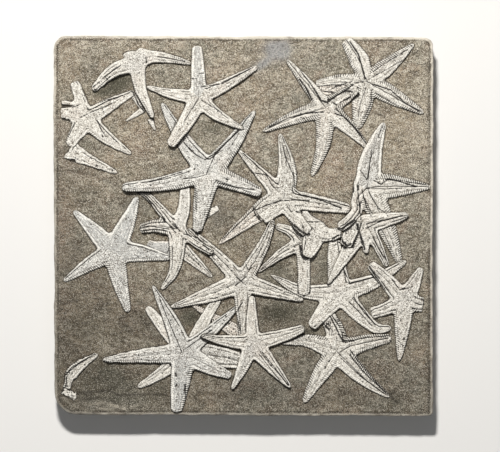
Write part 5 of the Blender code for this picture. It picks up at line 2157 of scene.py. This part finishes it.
@dataclass(frozen=True)
class Softbox:
    """A soft studio lamp: where it stands, what it points at, how large and how strong it is."""

    name: str
    place: tuple[float, float, float]
    size: Place
    power: float
    colour: Colour

    def build(self) -> None:
        """Put the lamp up, pointing at the slab's middle."""
        lamp = bpy.data.lights.new(self.name, "AREA")
        lamp.shape = "RECTANGLE"
        lamp.size, lamp.size_y = self.size
        lamp.energy = self.power
        lamp.color = self.colour
        item = bpy.data.objects.new(self.name, lamp)
        bpy.context.scene.collection.objects.link(item)
        item.location = self.place
        item.rotation_euler = (-item.location).to_track_quat("-Z", "Y").to_euler()
        item.visible_camera = False


@dataclass(frozen=True)
class Studio:
    """The floor, the lamps and the camera, which looks straight down on the slab."""

    key: Softbox = Softbox("key_lamp", (-0.22, 1.25, 1.9), (0.26, 0.16), 70.0, (1.0, 0.985, 0.96))
    fill: Softbox = Softbox("fill_lamp", (0.3, -1.2, 2.4), (1.6, 1.6), 6.0, (0.94, 0.97, 1.0))
    sky: float = 0.115
    sky_colour: Colour = (0.97, 0.98, 1.0)
    floor_size: float = 8.0
    floor_drop: float = 0.0002
    floor_colour: Colour = (0.72, 0.71, 0.69)
    floor_roughness: float = 0.8
    camera_height: float = 3.03
    camera_place: Place = (0.0067, 0.0)
    lens: float = 216.0
    clip_end: float = 30.0

    def build(self) -> None:
        """Set the studio up."""
        self.lay_floor()
        self.key.build()
        self.fill.build()
        world = bpy.data.worlds.new("studio")
        bpy.context.scene.world = world
        world.use_nodes = True
        back = world.node_tree.nodes["Background"]
        back.inputs["Color"].default_value = (*self.sky_colour, 1.0)
        back.inputs["Strength"].default_value = self.sky
        self.set_camera()
        bpy.context.scene.view_settings.view_transform = "Standard"

    def lay_floor(self) -> None:
        """A plain pale floor under the slab."""
        bpy.ops.object.select_all(action="DESELECT")
        bpy.ops.mesh.primitive_plane_add(size=self.floor_size, location=(0.0, 0.0, -self.floor_drop))
        floor = bpy.context.object
        floor.name = "floor"
        bpy.ops.object.transform_apply(location=True, rotation=False, scale=False)
        bench = Bench("pale_floor")
        bench.shader.inputs["Base Color"].default_value = (*self.floor_colour, 1.0)
        bench.shader.inputs["Roughness"].default_value = self.floor_roughness
        floor.data.materials.append(bench.material)

    def set_camera(self) -> None:
        """A long lens straight above, with the slab a little right of the frame's middle."""
        lens = bpy.data.cameras.new("camera")
        lens.lens = self.lens
        lens.clip_end = self.clip_end
        camera = bpy.data.objects.new("camera", lens)
        camera.location = (*self.camera_place, self.camera_height)
        bpy.context.scene.collection.objects.link(camera)
        bpy.context.scene.camera = camera


# ---------------------------------------------------------------- all of it


class Bed:
    """The slab with every fossil on it."""

    def __init__(self, fossils: Sequence[Fossil]) -> None:
        """Work out each fossil, then press the lower ones under the upper ones."""
        self.reliefs = {fossil.name: FossilRelief(fossil) for fossil in fossils}
        for item in self.reliefs.values():
            for name in item.fossil.stops_at:
                item.dip_under(self.reliefs[name], None)
            for name, level in item.fossil.passes_under:
                item.dip_under(self.reliefs[name], level)

    def build(self) -> list[bpy.types.Object]:
        """Build and dress every piece.

        Returns:
            The pieces.
        """
        skins = {shell: finish.make() for shell, finish in FINISHES.items()}
        slab = SlabRelief(list(self.reliefs.values())).build()
        slab.data.materials.append(StoneFinish().make())
        pieces = [slab]
        for item in self.reliefs.values():
            piece = item.build()
            piece.data.materials.append(skins[item.fossil.shell])
            pieces.append(piece)
        return pieces


def main() -> None:
    """Build the studio and the bed of starfish, and report each piece."""
    logging.basicConfig(level=logging.INFO, format="%(name)s: %(message)s")
    Studio().build()
    LOG.info("the studio is set up")
    for piece in Bed(FOSSILS).build():
        LOG.info("%s: %d faces", piece.name, len(piece.data.polygons))


if __name__ == "__main__":
    main()
